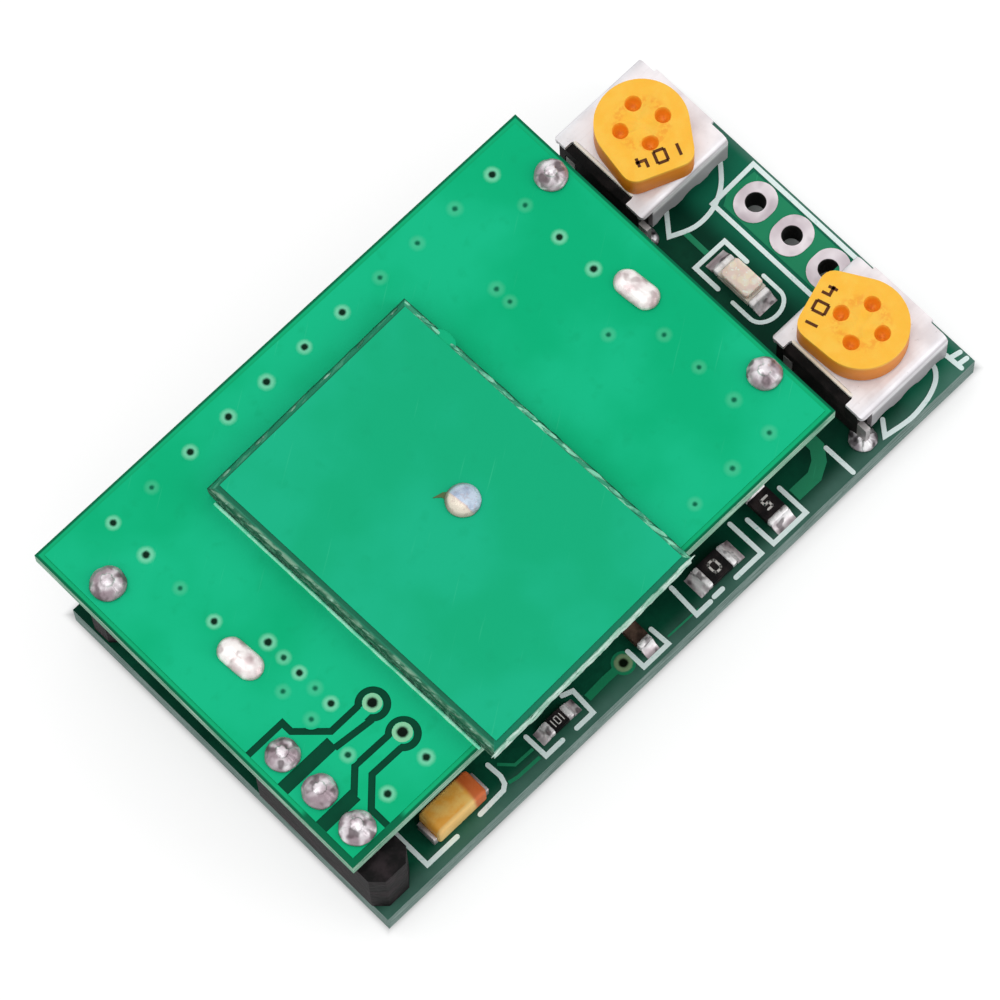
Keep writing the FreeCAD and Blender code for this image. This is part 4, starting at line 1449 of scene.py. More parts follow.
@dataclass
class AntennaBoard:
    """The bright upper board: its finish, plated holes and ringed holes."""

    row_start: float = -12.4
    row_pitch: float = 2.553
    row_y: float = 9.5
    side_ys: tuple[float, ...] = (7.2, 4.82, 2.45)
    right_x: float = 13.14
    right_low: float = -9.55
    right_pitch: float = 2.385
    column: Points = ((-11.3, -0.12), (-11.3, -1.2), (-11.3, -2.28), (-11.3, -3.36), (-11.3, -4.44))
    singles: Points = ((10.59, -9.58), (8.03, -9.58), (-12.5, -2.4), (-12.5, -4.35), (-12.5, -6.85), (-12.5, -9.55),
                       (-9.95, -9.55), (9.06, 5.06), (9.06, 4.12), (11.23, -0.48))
    ringed: Points = ((-9.88, -5.8), (-9.88, -7.86))
    plain: tuple[int, ...] = (0, 2, 3, 4, 5, 6, 10, 11, 13, 15, 16, 21, 23, 25, 31, 32)
    middling: tuple[int, ...] = (22, 30)
    lift: float = 0.02
    hole_turns: Spin = Spin(0.0, 67.0, 0.95, 0.04, 4)
    small_hole: Point = (0.15, 0.5)
    large_hole: Point = (0.25, 0.52)
    clearance: float = 0.002
    ground: CopperFinish = CopperFinish("antenna_mask", Colour(6, 180, 122), Colour(20, 190, 136), Colour(8, 168, 112))

    def spots(self) -> Path:
        """Every small plated hole, from the middle of the board.

        Returns:
            Their middles.
        """
        row = [(self.row_start + i * self.row_pitch, self.row_y) for i in range(11)]
        sides = [(x, y) for x in (self.row_start, self.right_x) for y in self.side_ys]
        right = [(self.right_x, self.right_low + i * self.right_pitch) for i in range(4)]
        return [*row, *sides, *right, *self.column, *self.singles]

    def hole(self, radius: float, rim: float) -> Piece:
        """Model one plated hole as a low swelling with a mouth, which its finish paints dark as painted shade of the
        hole.

        Args:
            radius: the radius of the mouth.
            rim: the radius where it meets the mask.

        Returns:
            The hole, at the origin.
        """
        piece = Bench.start(bpy.ops.mesh.primitive_circle_add, vertices=20, radius=rim * MM, fill_type="NGON")
        step = (rim - radius) / 3
        for inward, rise in ((step, 0.6), (step, 0.4), (step, -0.35), (radius * 0.25, -0.5)):
            bpy.ops.mesh.inset(thickness=inward * MM)
            Bench.move(0.0, 0.0, self.lift * rise)
        bpy.ops.mesh.inset(thickness=radius * 0.4 * MM)
        Bench.settle(piece, "plated_hole", 60.0)
        reach = piece.data.attributes.new("reach", "FLOAT", "POINT")
        for point, value in zip(piece.data.vertices, reach.data):
            value.value = point.co.xy.length / (rim * MM)
        return piece

    def build(self) -> None:
        """Make the holes and dress the board."""
        small, large = self.hole(*self.small_hole), self.hole(*self.large_hole)
        spots = self.spots()
        filled = [i for i in range(len(spots)) if i not in self.plain + self.middling]
        halo = Colour(138, 222, 184)
        # the dark hole colours are painted shade of the holes' insides, darkest on the open and ringed holes
        for pattern, places, name, finish in (
                (small, [spots[i] for i in self.plain], "plated_holes",
                 RingFinish("hole_open", self.ground, halo, Colour(4, 40, 24), 0.38, 0.5, 0.66)),
                (small, [spots[i] for i in self.middling], "plated_holes_half_filled",
                 RingFinish("hole_half", self.ground, halo, Colour(6, 76, 52), 0.32, 0.5, 0.45)),
                (small, [spots[i] for i in filled], "plated_holes_filled",
                 RingFinish("hole_filled", self.ground, halo, Colour(6, 104, 74), 0.26, 0.44, 0.16)),
                (large, self.ringed, "ringed_holes",
                 RingFinish("ringed_hole", self.ground, Colour(158, 212, 172), Colour(4, 18, 10), 0.56, 0.95, 0.75))):
            piece = Bench.scatter(pattern, shifted(places, ANTENNA), COPPER_TOP + self.clearance, name,
                                  self.hole_turns)
            dress(piece, finish)
        Bench.drop(small, large)
        paint_node("antenna_copper", self.ground)
        paint_node("antenna_board", AntennaFinish("antenna_core", Colour(0, 74, 50), Colour(0, 62, 42),
                                                  Colour(190, 226, 204), Colour(104, 164, 134), ANTENNA_UNDER,
                                                  ANTENNA_TOP))


@dataclass
class RaisedPlate:
    """The raised plate with its torn rim, and the copper patch on it."""

    long: float = 13.6
    wide: float = 19.3
    thick: float = 1.0
    cuts: int = 44
    inset: float = 0.06
    worn: float = 0.09
    tear_size: float = 0.35
    tear_depth: float = 0.16
    bead: float = 0.085
    bead_cuts: int = 60
    bead_rise: float = 0.03
    bead_out: float = 0.06
    bead_shift: float = 0.15
    bridge_y: float = 6.68
    bridge_in: float = 0.14

    @property
    def half(self) -> Point:
        """Half its length and half its width."""
        return (self.long / 2, self.wide / 2)

    def plate(self) -> Piece:
        """Model the plate from a block with torn sides.

        Returns:
            The piece.
        """
        piece = Bench.start(bpy.ops.mesh.primitive_cube_add, size=MM)
        Bench.grow(self.long - 2 * self.inset, self.wide - 2 * self.inset, self.thick)
        bpy.ops.mesh.subdivide(number_cuts=self.cuts)
        half_x, half_y = self.half[0] - self.inset, self.half[1] - self.inset
        Bench.pick(Pick.POINTS, lambda at, way: max(abs(at.x) - half_x, abs(at.y) - half_y) > -0.02
                   and at.z > self.thick / 2 - 0.02)
        Bench.move(0.0, 0.0, -self.worn)
        Bench.pick(Pick.POINTS, lambda at, way: max(abs(at.x) - half_x, abs(at.y) - half_y) > -0.02)
        bpy.ops.object.vertex_group_assign_new()
        Bench.clear()
        Bench.roughen(piece, self.tear_size, self.tear_depth, piece.vertex_groups[0].name)
        piece.vertex_groups.clear()
        piece.data.transform(placed((*PLATE, COPPER_TOP + self.thick / 2), PLATE_TURN))
        return Bench.settle(piece, "torn_plate", 50.0)

    def strand(self, long: float, wide: float, high: float) -> Piece:
        """Model one strand of the rim: a lens with pinched ends, along X.

        Args:
            long: half its length.
            wide: half its width.
            high: half its height.

        Returns:
            The strand, at the origin.
        """
        piece = Bench.ball(1.0, 10, 8)
        Bench.grow(long, wide, high)
        Bench.pick(Pick.POINTS, lambda at, way: abs(at.x) > long * 0.6)
        Bench.grow(1.1, 0.5, 0.5)
        return Bench.settle(piece, "strand", 80.0)

    def on_plate(self, x: float, y: float) -> Point:
        """Where a place in the plate's own frame is.

        Args:
            x: how far it is along the plate.
            y: how far it is across it.

        Returns:
            The place on the module.
        """
        at = Vector((x, y, 0.0))
        at.rotate(Matrix.Rotation(math.radians(PLATE_TURN), 3, "Z"))
        return (PLATE[0] + at.x, PLATE[1] + at.y)

    def strands(self, size: Triple, seed: int, spots: list[Triple], low: float) -> list[Piece]:
        """Lay strands on the plate.

        Args:
            size: half the length, width and height of one.
            seed: what their small chances start from.
            spots: the middle of each and its turn, in the plate's own frame.
            low: how far under the plate's top they lie.

        Returns:
            The strands.
        """
        rng = random.Random(seed)
        pattern = self.strand(*size)
        copies = [Bench.copy_to(pattern, (*self.on_plate(x, y), PLATE_TOP - low),
                                PLATE_TURN + turn + rng.uniform(-5, 5), rng.uniform(0.75, 1.15))
                  for x, y, turn in spots]
        Bench.drop(pattern)
        return copies

    def rim(self) -> Piece:
        """Long pale strands along the near side, with a gap at the bridge.

        Returns:
            The piece.
        """
        half_x, half_y = self.half
        near = [(half_x - 0.2, -half_y + 0.7 + 1.42 * i, 97.0) for i in range(13) if i not in (10, 11)]
        near += [(half_x - 0.2, y, 90.0) for y in (6.1, 7.25)]
        return Bench.join(self.strands((0.46, 0.1, 0.03), 5, near, 0.0), "near_rim")

    def low_rim(self) -> Piece:
        """Pale flattened strands that run into each other along the low side.

        Returns:
            The piece.
        """
        half_x, half_y = self.half
        low = [(-half_x + 0.5 + 0.78 * i, -half_y + 0.02 + 0.02 * (i * 2 % 3), 1.0) for i in range(17)]
        pieces = self.strands((0.72, 0.07, 0.16), 9, low, 0.2)
        under = [(x + 0.3, y - 0.01, turn) for x, y, turn in low[:-1]]
        return Bench.join(pieces + self.strands((0.7, 0.07, 0.2), 4, under, 0.55), "low_rim")

    def bridge(self) -> Piece:
        """The smooth web of mask that crosses the near side's strip.

        Returns:
            The piece.
        """
        pattern = self.strand(0.62, 0.3, 0.07)
        at = self.on_plate(self.half[0] - self.bridge_in, self.bridge_y)
        web = Bench.copy_to(pattern, (*at, PLATE_TOP - 0.02), PLATE_TURN + 90.0)
        Bench.drop(pattern)
        return Bench.settle(web, "mask_bridge", 60.0)

    def flecks(self) -> Piece:
        """Small dim strands along the far side and the high side.

        Returns:
            The piece.
        """
        half_x, half_y = self.half
        far = [(-half_x + 0.16, -half_y + 0.6 + 1.15 * i, 96.0) for i in range(16)]
        high = [(-half_x + 1.2 + 2.3 * i, half_y - 0.18, 3.0) for i in range(6)]
        return Bench.join(self.strands((0.3, 0.06, 0.04), 3, far + high, 0.05), "dim_rim")

    def foot_line(self) -> Piece:
        """A pale bead of resin along the foot of the far side.

        Returns:
            The piece.
        """
        piece = Bench.start(bpy.ops.mesh.primitive_cylinder_add, vertices=10, radius=self.bead * MM,
                            depth=(self.wide - 1.5) * MM, rotation=(math.pi / 2, 0, 0))
        Bench.settle(piece, "foot_bead")
        Bench.edit(piece)
        for i in range(self.bead_cuts):
            at = -self.wide / 2 + 1.0 + i * (self.wide - 2.0) / (self.bead_cuts - 1)
            bpy.ops.mesh.select_all(action="SELECT")
            bpy.ops.mesh.bisect(plane_co=(0, at * MM, 0), plane_no=(0, 1, 0))
        Bench.roughen(piece, 0.9, 0.07)
        piece.data.transform(placed((*PLATE, COPPER_TOP + self.bead_rise), PLATE_TURN)
                             @ placed((-(self.half[0] + self.bead_out), self.bead_shift, 0.0)))
        return Bench.settle(piece, "foot_bead", 60.0)

    def build(self) -> None:
        """Make and dress the plate, its rim and its patch."""
        dress(self.plate(), PlateFinish("plate_rim", *self.half), replaces=("patch_plate",))
        for make, finish in (
                (self.rim, FibreFinish("torn_fibre", Colour(128, 208, 174), Colour(52, 150, 116), 0.3)),
                (self.low_rim, FibreFinish("low_fibre", Colour(214, 238, 226), Colour(160, 206, 184))),
                (self.bridge, CopperFinish("bridge_mask", Colour(18, 178, 124), Colour(26, 184, 134),
                                           Colour(16, 168, 116))),
                (self.flecks, FibreFinish("dim_fibre", Colour(112, 166, 138), Colour(46, 112, 84), 0.3)),
                (self.foot_line, FibreFinish("resin_bead", Colour(164, 246, 212), Colour(120, 232, 190)))):
            dress(make(), finish)
        paint_node("patch_copper", CopperFinish("patch_mask", Colour(19, 176, 124), Colour(26, 183, 136),
                                                Colour(18, 168, 118)))


@dataclass
class MainBoard:
    """The darker lower board: tracks, pours, print, header holes and its underside."""

    half_long: float = 20.2
    half_wide: float = 11.05
    line: float = 0.25
    line_thick: float = 0.03
    line_step: float = 0.0007
    track_thick: float = 0.02
    pour_thick: float = 0.015
    pour_hole: float = 0.6
    via_land: float = 0.62
    via_thick: float = 0.018
    via_hole: Point = (0.27, 0.5)
    tracks: tuple[tuple[float, Points], ...] = (
        (0.74, ((11.5, -7.4), (11.48, -8.7), (11.02, -9.3), (10.3, -9.69), (8.9, -9.68))),
        (0.42, ((-3.12, -9.87), (-4.4, -9.85), (-5.6, -9.9))),
        (0.3, ((14.93, 4.0), (14.92, 2.33))),
        (0.1, ((-0.64, -10.45), (1.47, -10.5))),
        (0.16, ((-11.06, -9.2), (-10.46, -9.83), (-9.28, -9.87))),
        (0.18, ((-11.32, -10.25), (-10.78, -10.36), (-9.33, -10.4))))
    pour: Points = ((17.3, -2.75), (19.7, -2.75), (19.7, 3.75), (18.0, 3.95), (17.3, 3.55))
    hole_spots: Points = ((18.57, 2.54), (18.57, 0.0), (18.57, -2.54))
    via: Point = (-3.12, -9.87)
    end_lines: Runs = (((3.22, -2.9), (3.21, 4.0), (0.24, 4.08), (0.25, -3.2)),
                       ((4.2, 0.62), (4.2, 2.17), (6.25, 2.19), (6.25, 0.6)))
    low_lines: Runs = (
        ((8.64, 2.15), (8.66, 0.33), (6.4, 0.33), (6.36, 2.1)), ((5.6, 2.55), (5.62, 0.4), (3.85, 0.4)),
        ((1.25, 2.25), (1.15, 0.4), (2.1, 0.4)), ((2.4, 0.45), (2.98, 0.45)),
        ((-0.95, 1.45), (-0.88, 0.33), (-2.55, 0.33), (-2.56, 1.45)),
        ((-6.4, 2.1), (-5.85, 1.9), (-5.93, 0.43), (-7.05, 0.43)), ((-9.1, 1.85), (-9.08, 0.48), (-7.95, 0.48)),
        ((11.75, 2.0), (11.78, 0.16)), ((19.4, 1.21), (19.46, 0.2)), ((19.42, 0.98), (20.02, 0.84)),
        ((19.44, 0.46), (20.02, 0.38)))
    corner_lines: Runs = (((3.25, 3.55), (3.25, 0.62), (5.25, 0.62)),
                          ((8.8, 2.15), (8.85, 1.3), (8.72, 0.9), (8.45, 0.7), (6.8, 0.63)))
    bows: tuple[tuple[Point, Points], ...] = (
        ((16.1, 4.975), ((2.9, 0.5), (1.91, -0.56), (0.74, -1.16), (-0.59, -1.22), (-1.89, -0.69), (-1.0, 0.39))),
        ((16.2, -10.055), ((2.4, 0.5), (2.3, 0.1), (1.9, -0.33), (1.3, -0.62), (0.6, -0.79), (-0.5, -0.86),
                           (-1.97, -0.62), (-1.42, 0.08))))
    moon: Point = (1.05, 0.8)
    moon_steps: int = 16
    lamp_line_width: float = 0.22
    pad_width: float = 2.0
    pad_half: float = 0.175
    pad_hole: float = 0.55
    pad_thick: float = 0.06
    pad_rounding: float = 0.04
    barrel: float = 0.545
    barrel_long: float = 1.62
    land: float = 0.03
    hole_land: Point = (1.0, 0.56)
    pin_land: float = 1.02
    leg_land: float = 0.84

    def lamp_line(self) -> Path:
        """The half round printed at the lamp's end, with its two arms.

        Returns:
            The points.
        """
        low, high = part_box("lamp_ends")
        middle, end = (low.x + high.x) / 2 / MM, low.y / MM - 0.45
        turns = [math.pi * i / self.moon_steps for i in range(self.moon_steps + 1)]
        bow = [(middle + self.moon[0] * math.cos(turn), end + 0.2 - self.moon[1] * math.sin(turn)) for turn in turns]
        return [(bow[0][0], MAIN[1] - 0.5), *bow, (bow[-1][0], MAIN[1] - 0.42)]

    def prints(self) -> Piece:
        """Print the pale outlines with round ends, and the half round at the lamp.

        Returns:
            The piece.
        """
        x, y = self.half_long, self.half_wide
        runs = [[(x - far, up) for far, up in run] for run in self.end_lines]
        runs += [shifted(run, (0.0, -y)) for run in self.low_lines]
        runs += [shifted(run, (-x, -y)) for run in self.corner_lines]
        runs += [shifted([*arc(run[:-1]), run[-1]], at) for at, run in self.bows]
        pieces = [Bench.outline([shifted(ribbon(run, self.line, 4), MAIN)], MAIN_TOP,
                                self.line_thick + self.line_step * (i % 7)) for i, run in enumerate(runs)]
        pieces.append(Bench.outline([ribbon(self.lamp_line(), self.lamp_line_width, 4)], MAIN_TOP, self.line_thick))
        return Bench.join(pieces, "print_lines")

    def traces(self) -> Piece:
        """Raise the lighter tracks and the header's pour a hair above the mask.

        Returns:
            The piece.
        """
        pieces = [Bench.outline([shifted(ribbon(path, width), MAIN)], MAIN_TOP, self.track_thick)
                  for width, path in self.tracks]
        holes = [shifted(circle(spot, self.pour_hole), MAIN) for spot in self.hole_spots]
        pieces.append(Bench.outline([shifted(self.pour, MAIN), *holes], MAIN_TOP, self.pour_thick))
        pieces.append(Bench.outline([shifted(circle(self.via, self.via_land), MAIN)], MAIN_TOP, self.via_thick))
        return Bench.join(pieces, "main_tracks")

    def pads(self) -> Piece:
        """Smooth oblong pads round the header holes, rolled over at their rims.

        Returns:
            The piece.
        """
        pieces = []
        for x, y in self.hole_spots:
            oval = ribbon([(x - self.pad_half, y), (x + self.pad_half, y)], self.pad_width, 15)
            rings = [shifted(oval, MAIN), shifted(circle((x, y), self.pad_hole, 40), MAIN)]
            pieces.append(Bench.outline(rings, MAIN_TOP, self.pad_thick))
        piece = Bench.join(pieces, "header_ovals")
        Bench.soften(piece, self.pad_rounding)
        return Bench.settle(piece, "header_ovals", 40.0)

    def barrels(self) -> Piece:
        """Line the header holes with plated barrels that are open at both ends; their near black finish is painted
        shade inside the holes.

        Returns:
            The piece.
        """
        pattern = Bench.start(bpy.ops.mesh.primitive_cylinder_add, vertices=32, radius=self.barrel * MM,
                              depth=self.barrel_long * MM, end_fill_type="NOTHING")
        Bench.pick(Pick.EDGES, lambda at, way: abs(abs(at.z) - self.barrel_long / 2) < 0.01)
        for size in ((0.93, 0.93, 1.0), (1.0, 1.0, 0.0)):
            bpy.ops.mesh.extrude_region_move()
            Bench.grow(*size)
        bpy.ops.mesh.select_all(action="SELECT")
        bpy.ops.mesh.remove_doubles(threshold=0.001 * MM)
        bpy.ops.mesh.normals_make_consistent(inside=False)
        Bench.settle(pattern, "barrel", 40.0)
        piece = Bench.scatter(pattern, shifted(self.hole_spots, MAIN), (MAIN_UNDER + MAIN_TOP) / 2, "header_barrels",
                              Spin())
        Bench.drop(pattern)
        return piece

    def lands_under(self) -> Piece:
        """Tinned lands round the header holes and joints on the underside.

        Returns:
            The piece.
        """
        rings = [[circle(spot, radius) for radius in self.hole_land] for spot in self.hole_spots]
        rings += [[circle(spot, self.pin_land)] for spot in shifted(Solder.pin_spots, BOARD_SHIFT)]
        rings += [[circle(spot, self.leg_land)] for spot in Solder.leg_spots + Solder.rear_spots]
        pieces = [Bench.outline([shifted(ring, MAIN) for ring in land], MAIN_UNDER - self.land, self.land)
                  for land in rings]
        return Bench.join(pieces, "under_lands")

    def build(self) -> None:
        """Make and dress the board's details."""
        paint_node("main_board", MainFinish("main_core", Colour(14, 84, 60), Colour(4, 56, 40), Colour(150, 172, 166),
                                            Colour(104, 128, 121), MAIN_UNDER, MAIN_TOP))
        dress(self.traces(), CopperFinish("track_mask", Colour(30, 134, 92), Colour(42, 140, 100),
                                          Colour(26, 116, 82)))
        # the tinned finishes paint light: a lighter crown, darker flanks and crease shade
        dress(self.pads(), SolderFinish("tinned", MAIN_TOP, 0.06, Colour(236, 228, 232), Colour(206, 194, 200),
                                        Colour(170, 156, 164), 1.4, 0.4, 0.4), replaces=("header_pads",))
        # painted shade: the plated barrels are coloured near black for the shade inside the holes
        dress(self.barrels(), MetalFinish("barrel_painted_shade", Colour(30, 28, 26), Colour(12, 12, 12), 0.6, 0.3,
                                          (6.0, 6.0, 0.4)))
        dress(self.lands_under(), SolderFinish("tinned_under", MAIN_UNDER, -0.03, Colour(226, 220, 222),
                                               Colour(196, 188, 190), Colour(160, 150, 154), 1.4, 0.4, 0.4))
        ground = CopperFinish("via_ground", Colour(44, 128, 92), Colour(52, 134, 100), Colour(34, 112, 80))
        hole = AntennaBoard().hole(*self.via_hole)
        copy = Bench.scatter(hole, shifted([self.via], MAIN), MAIN_TOP + self.track_thick, "main_plated_hole", Spin())
        Bench.drop(hole)
        # painted shade: the via's near black middle stands for the shade inside it
        dress(copy, RingFinish("main_hole", ground, Colour(132, 158, 118), Colour(6, 16, 6), 0.5, 0.8, 0.9))
        dress(self.prints(), InkFinish("print", Colour(236, 252, 250), Colour(188, 228, 220)),
              replaces=("printed_lines",))


@dataclass
class Trimmer:
    """One trimmer: metal frame, black base, soft-edged orange rotor with its value."""

    name: str
    centre: Point
    tab_turn: float
    value_x: float
    body: Body
    stroke: float = 0.16
    height: float = 7.5
    thick: float = 1.6
    radius: float = 2.38
    reach: float = 2.85
    tab_half: float = 1.75
    tip: float = 0.7
    rounding: float = 0.22
    rim_steps: int = 32
    tip_steps: int = 5
    lip_ends: Points = ((-2.55, -1.85), (-2.55, 2.1))
    lip_foot: float = 5.64
    lip_thick: float = 0.18
    lip_width: float = 0.15
    lip_rounding: float = 0.05
    ink_thick: float = 0.012
    ink_sunk: float = 0.004
    digit_half: float = 0.33
    hollows: tuple[tuple[float, Triple, float], ...] = ((0.82, (0.66, 0.3, 0.12), 0.05),
                                                        (1.13, (0.42, 0.44, 0.66), 0.06))

    def turned(self, run: Path) -> Path:
        """Points of the rotor, tab towards +X, turned and moved to where the rotor stands.

        Args:
            run: points about the rotor's axis.

        Returns:
            The points.
        """
        angle = math.radians(self.tab_turn)
        return [(self.centre[0] + x * math.cos(angle) - y * math.sin(angle),
                 self.centre[1] + x * math.sin(angle) + y * math.cos(angle)) for x, y in run]

    def cap(self) -> Piece:
        """Model the turning cap: a round disc with a blunt tab, a shallow cross and four round pockets.

        Returns:
            The piece.
        """
        touch = math.atan2(self.tab_half, self.reach) + math.acos(self.radius / math.hypot(self.tab_half, self.reach))
        run = [polar((0.0, 0.0), self.radius, touch + (2 * math.pi - 2 * touch) * i / self.rim_steps)
               for i in range(self.rim_steps + 1)]
        tab = (self.reach, 0.0)
        for way, sides in ((-1, (run[-1], tab)), (1, (tab, run[0]))):
            corner = Vector((self.reach, way * self.tab_half))
            start, end = [corner + (Vector(side) - corner).normalized() * self.tip for side in sides]
            for i in range(self.tip_steps + 1):
                t = i / self.tip_steps
                at = start * (1 - t) ** 2 + corner * 2 * t * (1 - t) + end * t * t
                run.append((at.x, at.y))
        cap = Bench.outline([self.turned(run)], self.height - self.thick, self.thick)
        Bench.soften(cap, self.rounding)
        for quarter in range(4):
            turn = self.tab_turn + 90.0 * quarter
            for reach, size, rise in self.hollows:
                at = polar(self.centre, reach, math.radians(turn))
                self.carve(cap, (*at, self.height + rise), turn, size)
        return Bench.settle(cap, "rotor_cap_" + self.name, 50.0)

    @staticmethod
    def carve(cap: Piece, at: Triple, turn: float, size: Triple) -> None:
        """Cut one rounded hollow into the cap.

        Args:
            cap: the cap.
            at: the hollow's middle.
            turn: its turn in degrees.
            size: half its length, width and height.
        """
        tool = Bench.ball(1.0, 28, 18)
        Bench.grow(*size)
        Bench.clear()
        tool.data.transform(placed(at, turn))
        Bench.change(cap, "BOOLEAN", operation="DIFFERENCE", solver="EXACT", object=tool)
        Bench.drop(tool)

    def lip(self) -> Piece:
        """The bent edge of the sheet beside the black notch, made near white as a painted highlight.

        Returns:
            The piece.
        """
        run = ribbon(shifted(self.lip_ends, self.centre), self.lip_width, 4)
        piece = Bench.outline([run], self.lip_foot, self.lip_thick)
        Bench.soften(piece, self.lip_rounding)
        return Bench.settle(piece, "notch_lip_" + self.name, 50.0)

    def digits(self) -> Piece:
        """Draw 104 in straight strokes on the rotor's tab, read across it.

        Returns:
            The piece.
        """
        low, high = self.value_x - self.digit_half, self.value_x + self.digit_half
        zero = [(low, 0.5), (high, 0.5), (high, -0.06), (low, -0.06), (low, 0.5)]
        strokes = [[(low, 1.18), (high, 1.18)], *[zero[i:i + 2] for i in range(4)],
                   [(high, -0.56), (low + 0.24, -0.56), (low + 0.24, -1.08)], [(high - 0.16, -0.96), (low, -0.96)]]
        pieces = [Bench.outline([ribbon(self.turned(run), self.stroke)], self.height - self.ink_sunk, self.ink_thick)
                  for run in strokes]
        return Bench.join(pieces, "value_" + self.name)

    def build(self) -> None:
        """Make the value, the cap and the lip, and dress the trimmer."""
        name = self.name
        dress(self.digits(), InkFinish("value_ink", Colour(88, 46, 16), Colour(150, 92, 30)), self.body)
        dress(self.cap(), RotorFinish("rotor_" + name, self.centre, self.height), self.body,
              replaces=("trimmer_rotor_" + name,))
        # painted highlight: the lip's near white colour
        dress(self.lip(), MetalFinish("lip", Colour(255, 252, 244), Colour(250, 236, 214), 0.4, 0.0,
                                      (4.0, 0.3, 1.0)))
        paint_node("trimmer_frame_" + name, FrameFinish("frame", Colour(248, 246, 250), Colour(226, 222, 226), 0.3, 0.3,
                                                        (0.15, 5.0, 5.0)))
        paint_node("trimmer_base_" + name, PlasticFinish("base", Colour(20, 18, 18), Colour(44, 38, 38), 0.55))
        paint_node("trimmer_legs_" + name, MetalFinish("legs", Colour(206, 200, 200), Colour(150, 142, 140)))


@dataclass
class SmallParts:
    """Chip parts, capacitor, indicator lamp and what stands between the boards."""

    ink_thick: float = 0.012
    ink_sunk: float = 0.004
    chips: tuple[str, ...] = ("resistor_end", "resistor_bridge", "capacitor_small", "resistor_small")
    values: tuple[tuple[str, float, Runs], ...] = (
        ("resistor_bridge_body", 0.12, (((-0.22, -0.2), (-0.22, 0.2), (-0.14, 0.3), (0.14, 0.3), (0.22, 0.2),
                                         (0.22, -0.2), (0.14, -0.3), (-0.14, -0.3), (-0.22, -0.2)),)),
        ("resistor_small_body", 0.05, (((-0.28, -0.2), (-0.28, 0.2)), ((0.28, -0.2), (0.28, 0.2)),
                                       ((-0.1, -0.2), (0.1, -0.2), (0.1, 0.2), (-0.1, 0.2), (-0.1, -0.2)))),
        ("resistor_end_body", 0.12, (((0.3, 0.26), (-0.12, 0.26), (-0.12, -0.02), (0.14, -0.02), (0.14, -0.3),
                                      (-0.16, -0.3)),)))

    @staticmethod
    def middle(node: str) -> Triple:
        """The middle of a node's upper side, in millimetres."""
        low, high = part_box(node)
        return ((low.x + high.x) / 2 / MM, (low.y + high.y) / 2 / MM, high.z / MM)

    def marks(self) -> Piece:
        """Draw the pale values on the chip parts.

        Returns:
            The piece.
        """
        pieces = []
        for node, width, runs in self.values:
            x, y, top = self.middle(node)
            pieces += [Bench.outline([ribbon(shifted([a, b], (x, y)), width, 2)], top - self.ink_sunk, self.ink_thick)
                       for run in runs for a, b in zip(run, run[1:])]
        return Bench.join(pieces, "chip_values")

    @staticmethod
    def soft(node: str, width: float, finish: Finish, slot: str = "solder") -> None:
        """Stand a rounded copy in a node's place."""
        dress(Bench.soft_copy(node, width), finish, replaces=(node,))

    def build(self) -> None:
        """Make the values and dress the small parts."""
        dress(self.marks(), InkFinish("value_white", Colour(228, 224, 220), Colour(160, 156, 152)))
        black = PlasticFinish("chip_black", Colour(20, 18, 20), Colour(54, 46, 46), 0.4)
        tan = PlasticFinish("chip_tan", Colour(52, 38, 32), Colour(104, 82, 70), 0.4)
        # painted light: white crowns as painted highlights, dark crease spots and flanks as painted shade
        ends = SolderFinish("chip_ends", MAIN_TOP, 0.42, Colour(255, 252, 253), Colour(206, 192, 197),
                            Colour(62, 48, 54), 0.6, 0.4, 0.28, 0.15, 0.75)
        silver = SolderFinish("lamp_silver", MAIN_TOP, 0.4, Colour(255, 253, 253), Colour(248, 244, 244),
                              Colour(128, 112, 114), 0.5, 0.12, 0.35, 0.0, 0.35)
        for name in self.chips:
            paint_node(name + "_body", tan if name.startswith("capacitor") else black)
            self.soft(name + "_ends", 0.1, ends)
        self.soft("chip_solder", 0.12, ends)
        self.soft("lamp_lens", 0.12, LensFinish("lamp_lens"), "lamp_lens")
        self.soft("lamp_ends", 0.1, silver)
        self.soft("tantalum_body", 0.16, CapacitorFinish("capacitor_amber", self.middle("tantalum_body")[:2]),
                  "tantalum_case")
        self.soft("tantalum_leads", 0.2, MetalFinish("capacitor_leads", Colour(206, 198, 200), Colour(104, 96, 100),
                                                     0.3, 0.6, (1.0, 1.0, 1.0)))
        pins = MetalFinish("pins", Colour(214, 206, 196), Colour(160, 150, 136), 0.3, 0.85, (6.0, 6.0, 0.3))
        block = PlasticFinish("block_black", Colour(12, 10, 11), Colour(46, 38, 41), 0.6, 0.3, 0.05)
        for nodes, finish in (
                (("lamp_body",), PlasticFinish("lamp_base", Colour(232, 226, 214), Colour(190, 180, 166))),
                (("link_block", "support_blocks"), block),
                (("link_pins", "support_pins", "feed_pin", "signal_leads"), pins),
                (("signal_chip",), PlasticFinish("signal_chip", Colour(30, 28, 30), Colour(52, 50, 52), 0.45)),
                (("screen_can",), MetalFinish("can_tin", Colour(206, 204, 200), Colour(158, 152, 146), 0.34, 0.85,
                                              (0.3, 4.0, 4.0)))):
            for node in nodes:
                paint_node(node, finish)


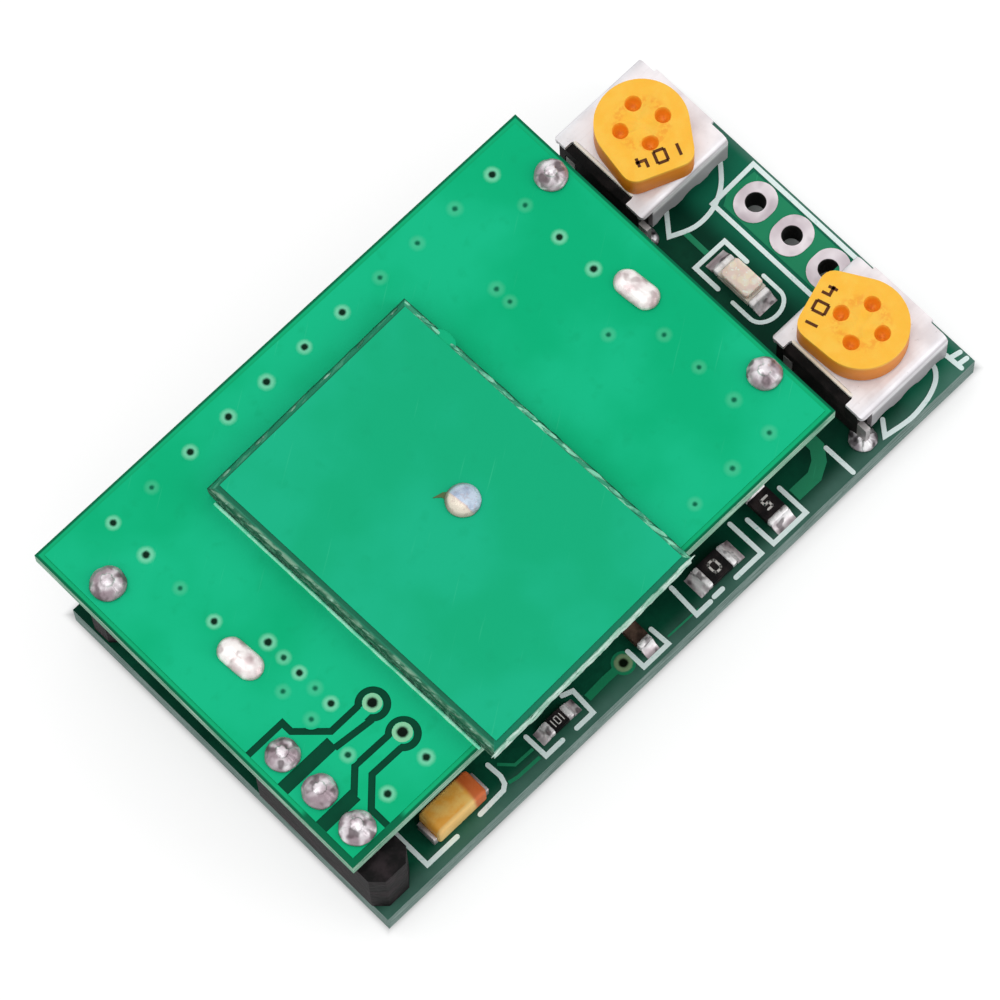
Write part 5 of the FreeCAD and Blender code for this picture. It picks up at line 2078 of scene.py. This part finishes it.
@dataclass
class Studio:
    """Floor, light and camera."""

    place: Triple = (-0.062879, -0.072680, 0.272337)
    turn: Triple = (19.3236, 1.4285, -44.5124)
    lens: float = 209.9676
    floor_size: float = 3.0
    floor_low: float = 0.00002
    floor_tone: Colour = Colour(188, 188, 188)
    contact: Point = (20.4, 11.25)
    contact_middle: Point = (0.5, -0.35)
    target: Triple = (0.0, 0.0, 0.005)
    sky: float = 0.76
    key: float = 0.74
    fill: float = 0.62
    glow: float = 0.6
    white: Colour = Colour(255, 255, 255)

    @staticmethod
    def seen(graph: Graph) -> Value:
        """1 for rays of the camera, of gloss and of glass, else 0."""
        camera, gloss, glass = [graph.node("ShaderNodeLightPath", {}, {}, out) for out in (0, 3, 6)]
        return camera.larger(gloss).larger(glass)

    def floor(self) -> None:
        """A white floor that keeps the shadow and stays dark right under the board."""
        piece = Bench.start(bpy.ops.mesh.primitive_plane_add, size=self.floor_size,
                            location=(0.0, 0.0, -self.floor_low))
        Bench.settle(piece, "studio_floor")
        graph = Graph("floor_white")
        x, y = graph.axis(0), graph.axis(1)
        over_x = abs(x - self.contact_middle[0]) - self.contact[0]
        over_y = abs(y - self.contact_middle[1]) - self.contact[1]
        outside = over_x.larger(over_y).ramp(-0.3, 0.4)
        matt = graph.node("ShaderNodeBsdfDiffuse", {}, {"Color": self.floor_tone})
        glow = graph.node("ShaderNodeEmission", {}, {"Color": self.white, "Strength": self.glow})
        none = graph.node("ShaderNodeEmission", {}, {"Color": Colour(0, 0, 0), "Strength": 0.0})
        lit = graph.node("ShaderNodeMixShader", {}, {0: self.seen(graph) * outside, 1: none, 2: glow})
        piece.data.materials.append(graph.close(graph.node("ShaderNodeAddShader", {}, {0: matt, 1: lit})))

    def world(self) -> None:
        """White to the eye, softer as light."""
        graph = Graph("studio", True)
        plain, bright = [graph.node("ShaderNodeBackground", {}, {"Color": self.white, "Strength": strength})
                         for strength in (self.sky, 1.0)]
        sky = graph.node("ShaderNodeMixShader", {}, {0: self.seen(graph), 1: plain, 2: bright})
        bpy.context.scene.world = graph.close(sky)

    @staticmethod
    def stand(name: str, data: bpy.types.ID, at: Triple) -> Piece:
        """Put a lamp or a camera at a place, in metres.

        Args:
            name: its name.
            data: the lamp's or the camera's data.
            at: its place in metres.

        Returns:
            The piece.
        """
        piece = bpy.data.objects.new(name, data)
        bpy.context.collection.objects.link(piece)
        piece.location = at
        return piece

    def lamp(self, name: str, at: Triple, size: float, power: float) -> None:
        """A soft square lamp that looks at the module.

        Args:
            name: its name.
            at: its place in metres.
            size: its side in metres.
            power: its power in watts.
        """
        light = bpy.data.lights.new(name, "AREA")
        light.size = size
        light.energy = power
        piece = self.stand(name, light, at)
        piece.rotation_euler = (Vector(self.target) - Vector(at)).to_track_quat("-Z", "Y").to_euler()

    def camera(self) -> None:
        """Stand where the photograph was taken."""
        data = bpy.data.cameras.new("photo_camera")
        data.lens = self.lens
        data.sensor_width = 36.0
        data.clip_start, data.clip_end = 0.01, 10.0
        piece = self.stand("photo_camera", data, self.place)
        piece.rotation_euler = tuple(math.radians(angle) for angle in self.turn)
        bpy.context.scene.camera = piece

    def build(self) -> None:
        """Set the stage."""
        bpy.context.scene.view_settings.view_transform = "Standard"
        self.camera()
        self.floor()
        self.world()
        self.lamp("key_lamp", (-0.12, 0.1, 0.62), 0.35, self.key)
        self.lamp("fill_lamp", (0.3, -0.5, 0.28), 0.3, self.fill)
        LOG.info("studio ready")


def main() -> None:
    """Build the sub-assemblies in order."""
    logging.basicConfig(level=logging.INFO, format="%(message)s")
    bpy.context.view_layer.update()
    Studio().build()
    AntennaBoard().build()
    RaisedPlate().build()
    MainBoard().build()
    Solder().build()
    Trimmer("upper", (16.25, 7.285), 247.0, 1.98, Body.UPPER).build()
    Trimmer("lower", (16.35, -7.745), 107.0, 2.14, Body.LOWER).build()
    SmallParts().build()
    Bench.clear()
    LOG.info("boxes written")


if __name__ == "__main__":
    main()
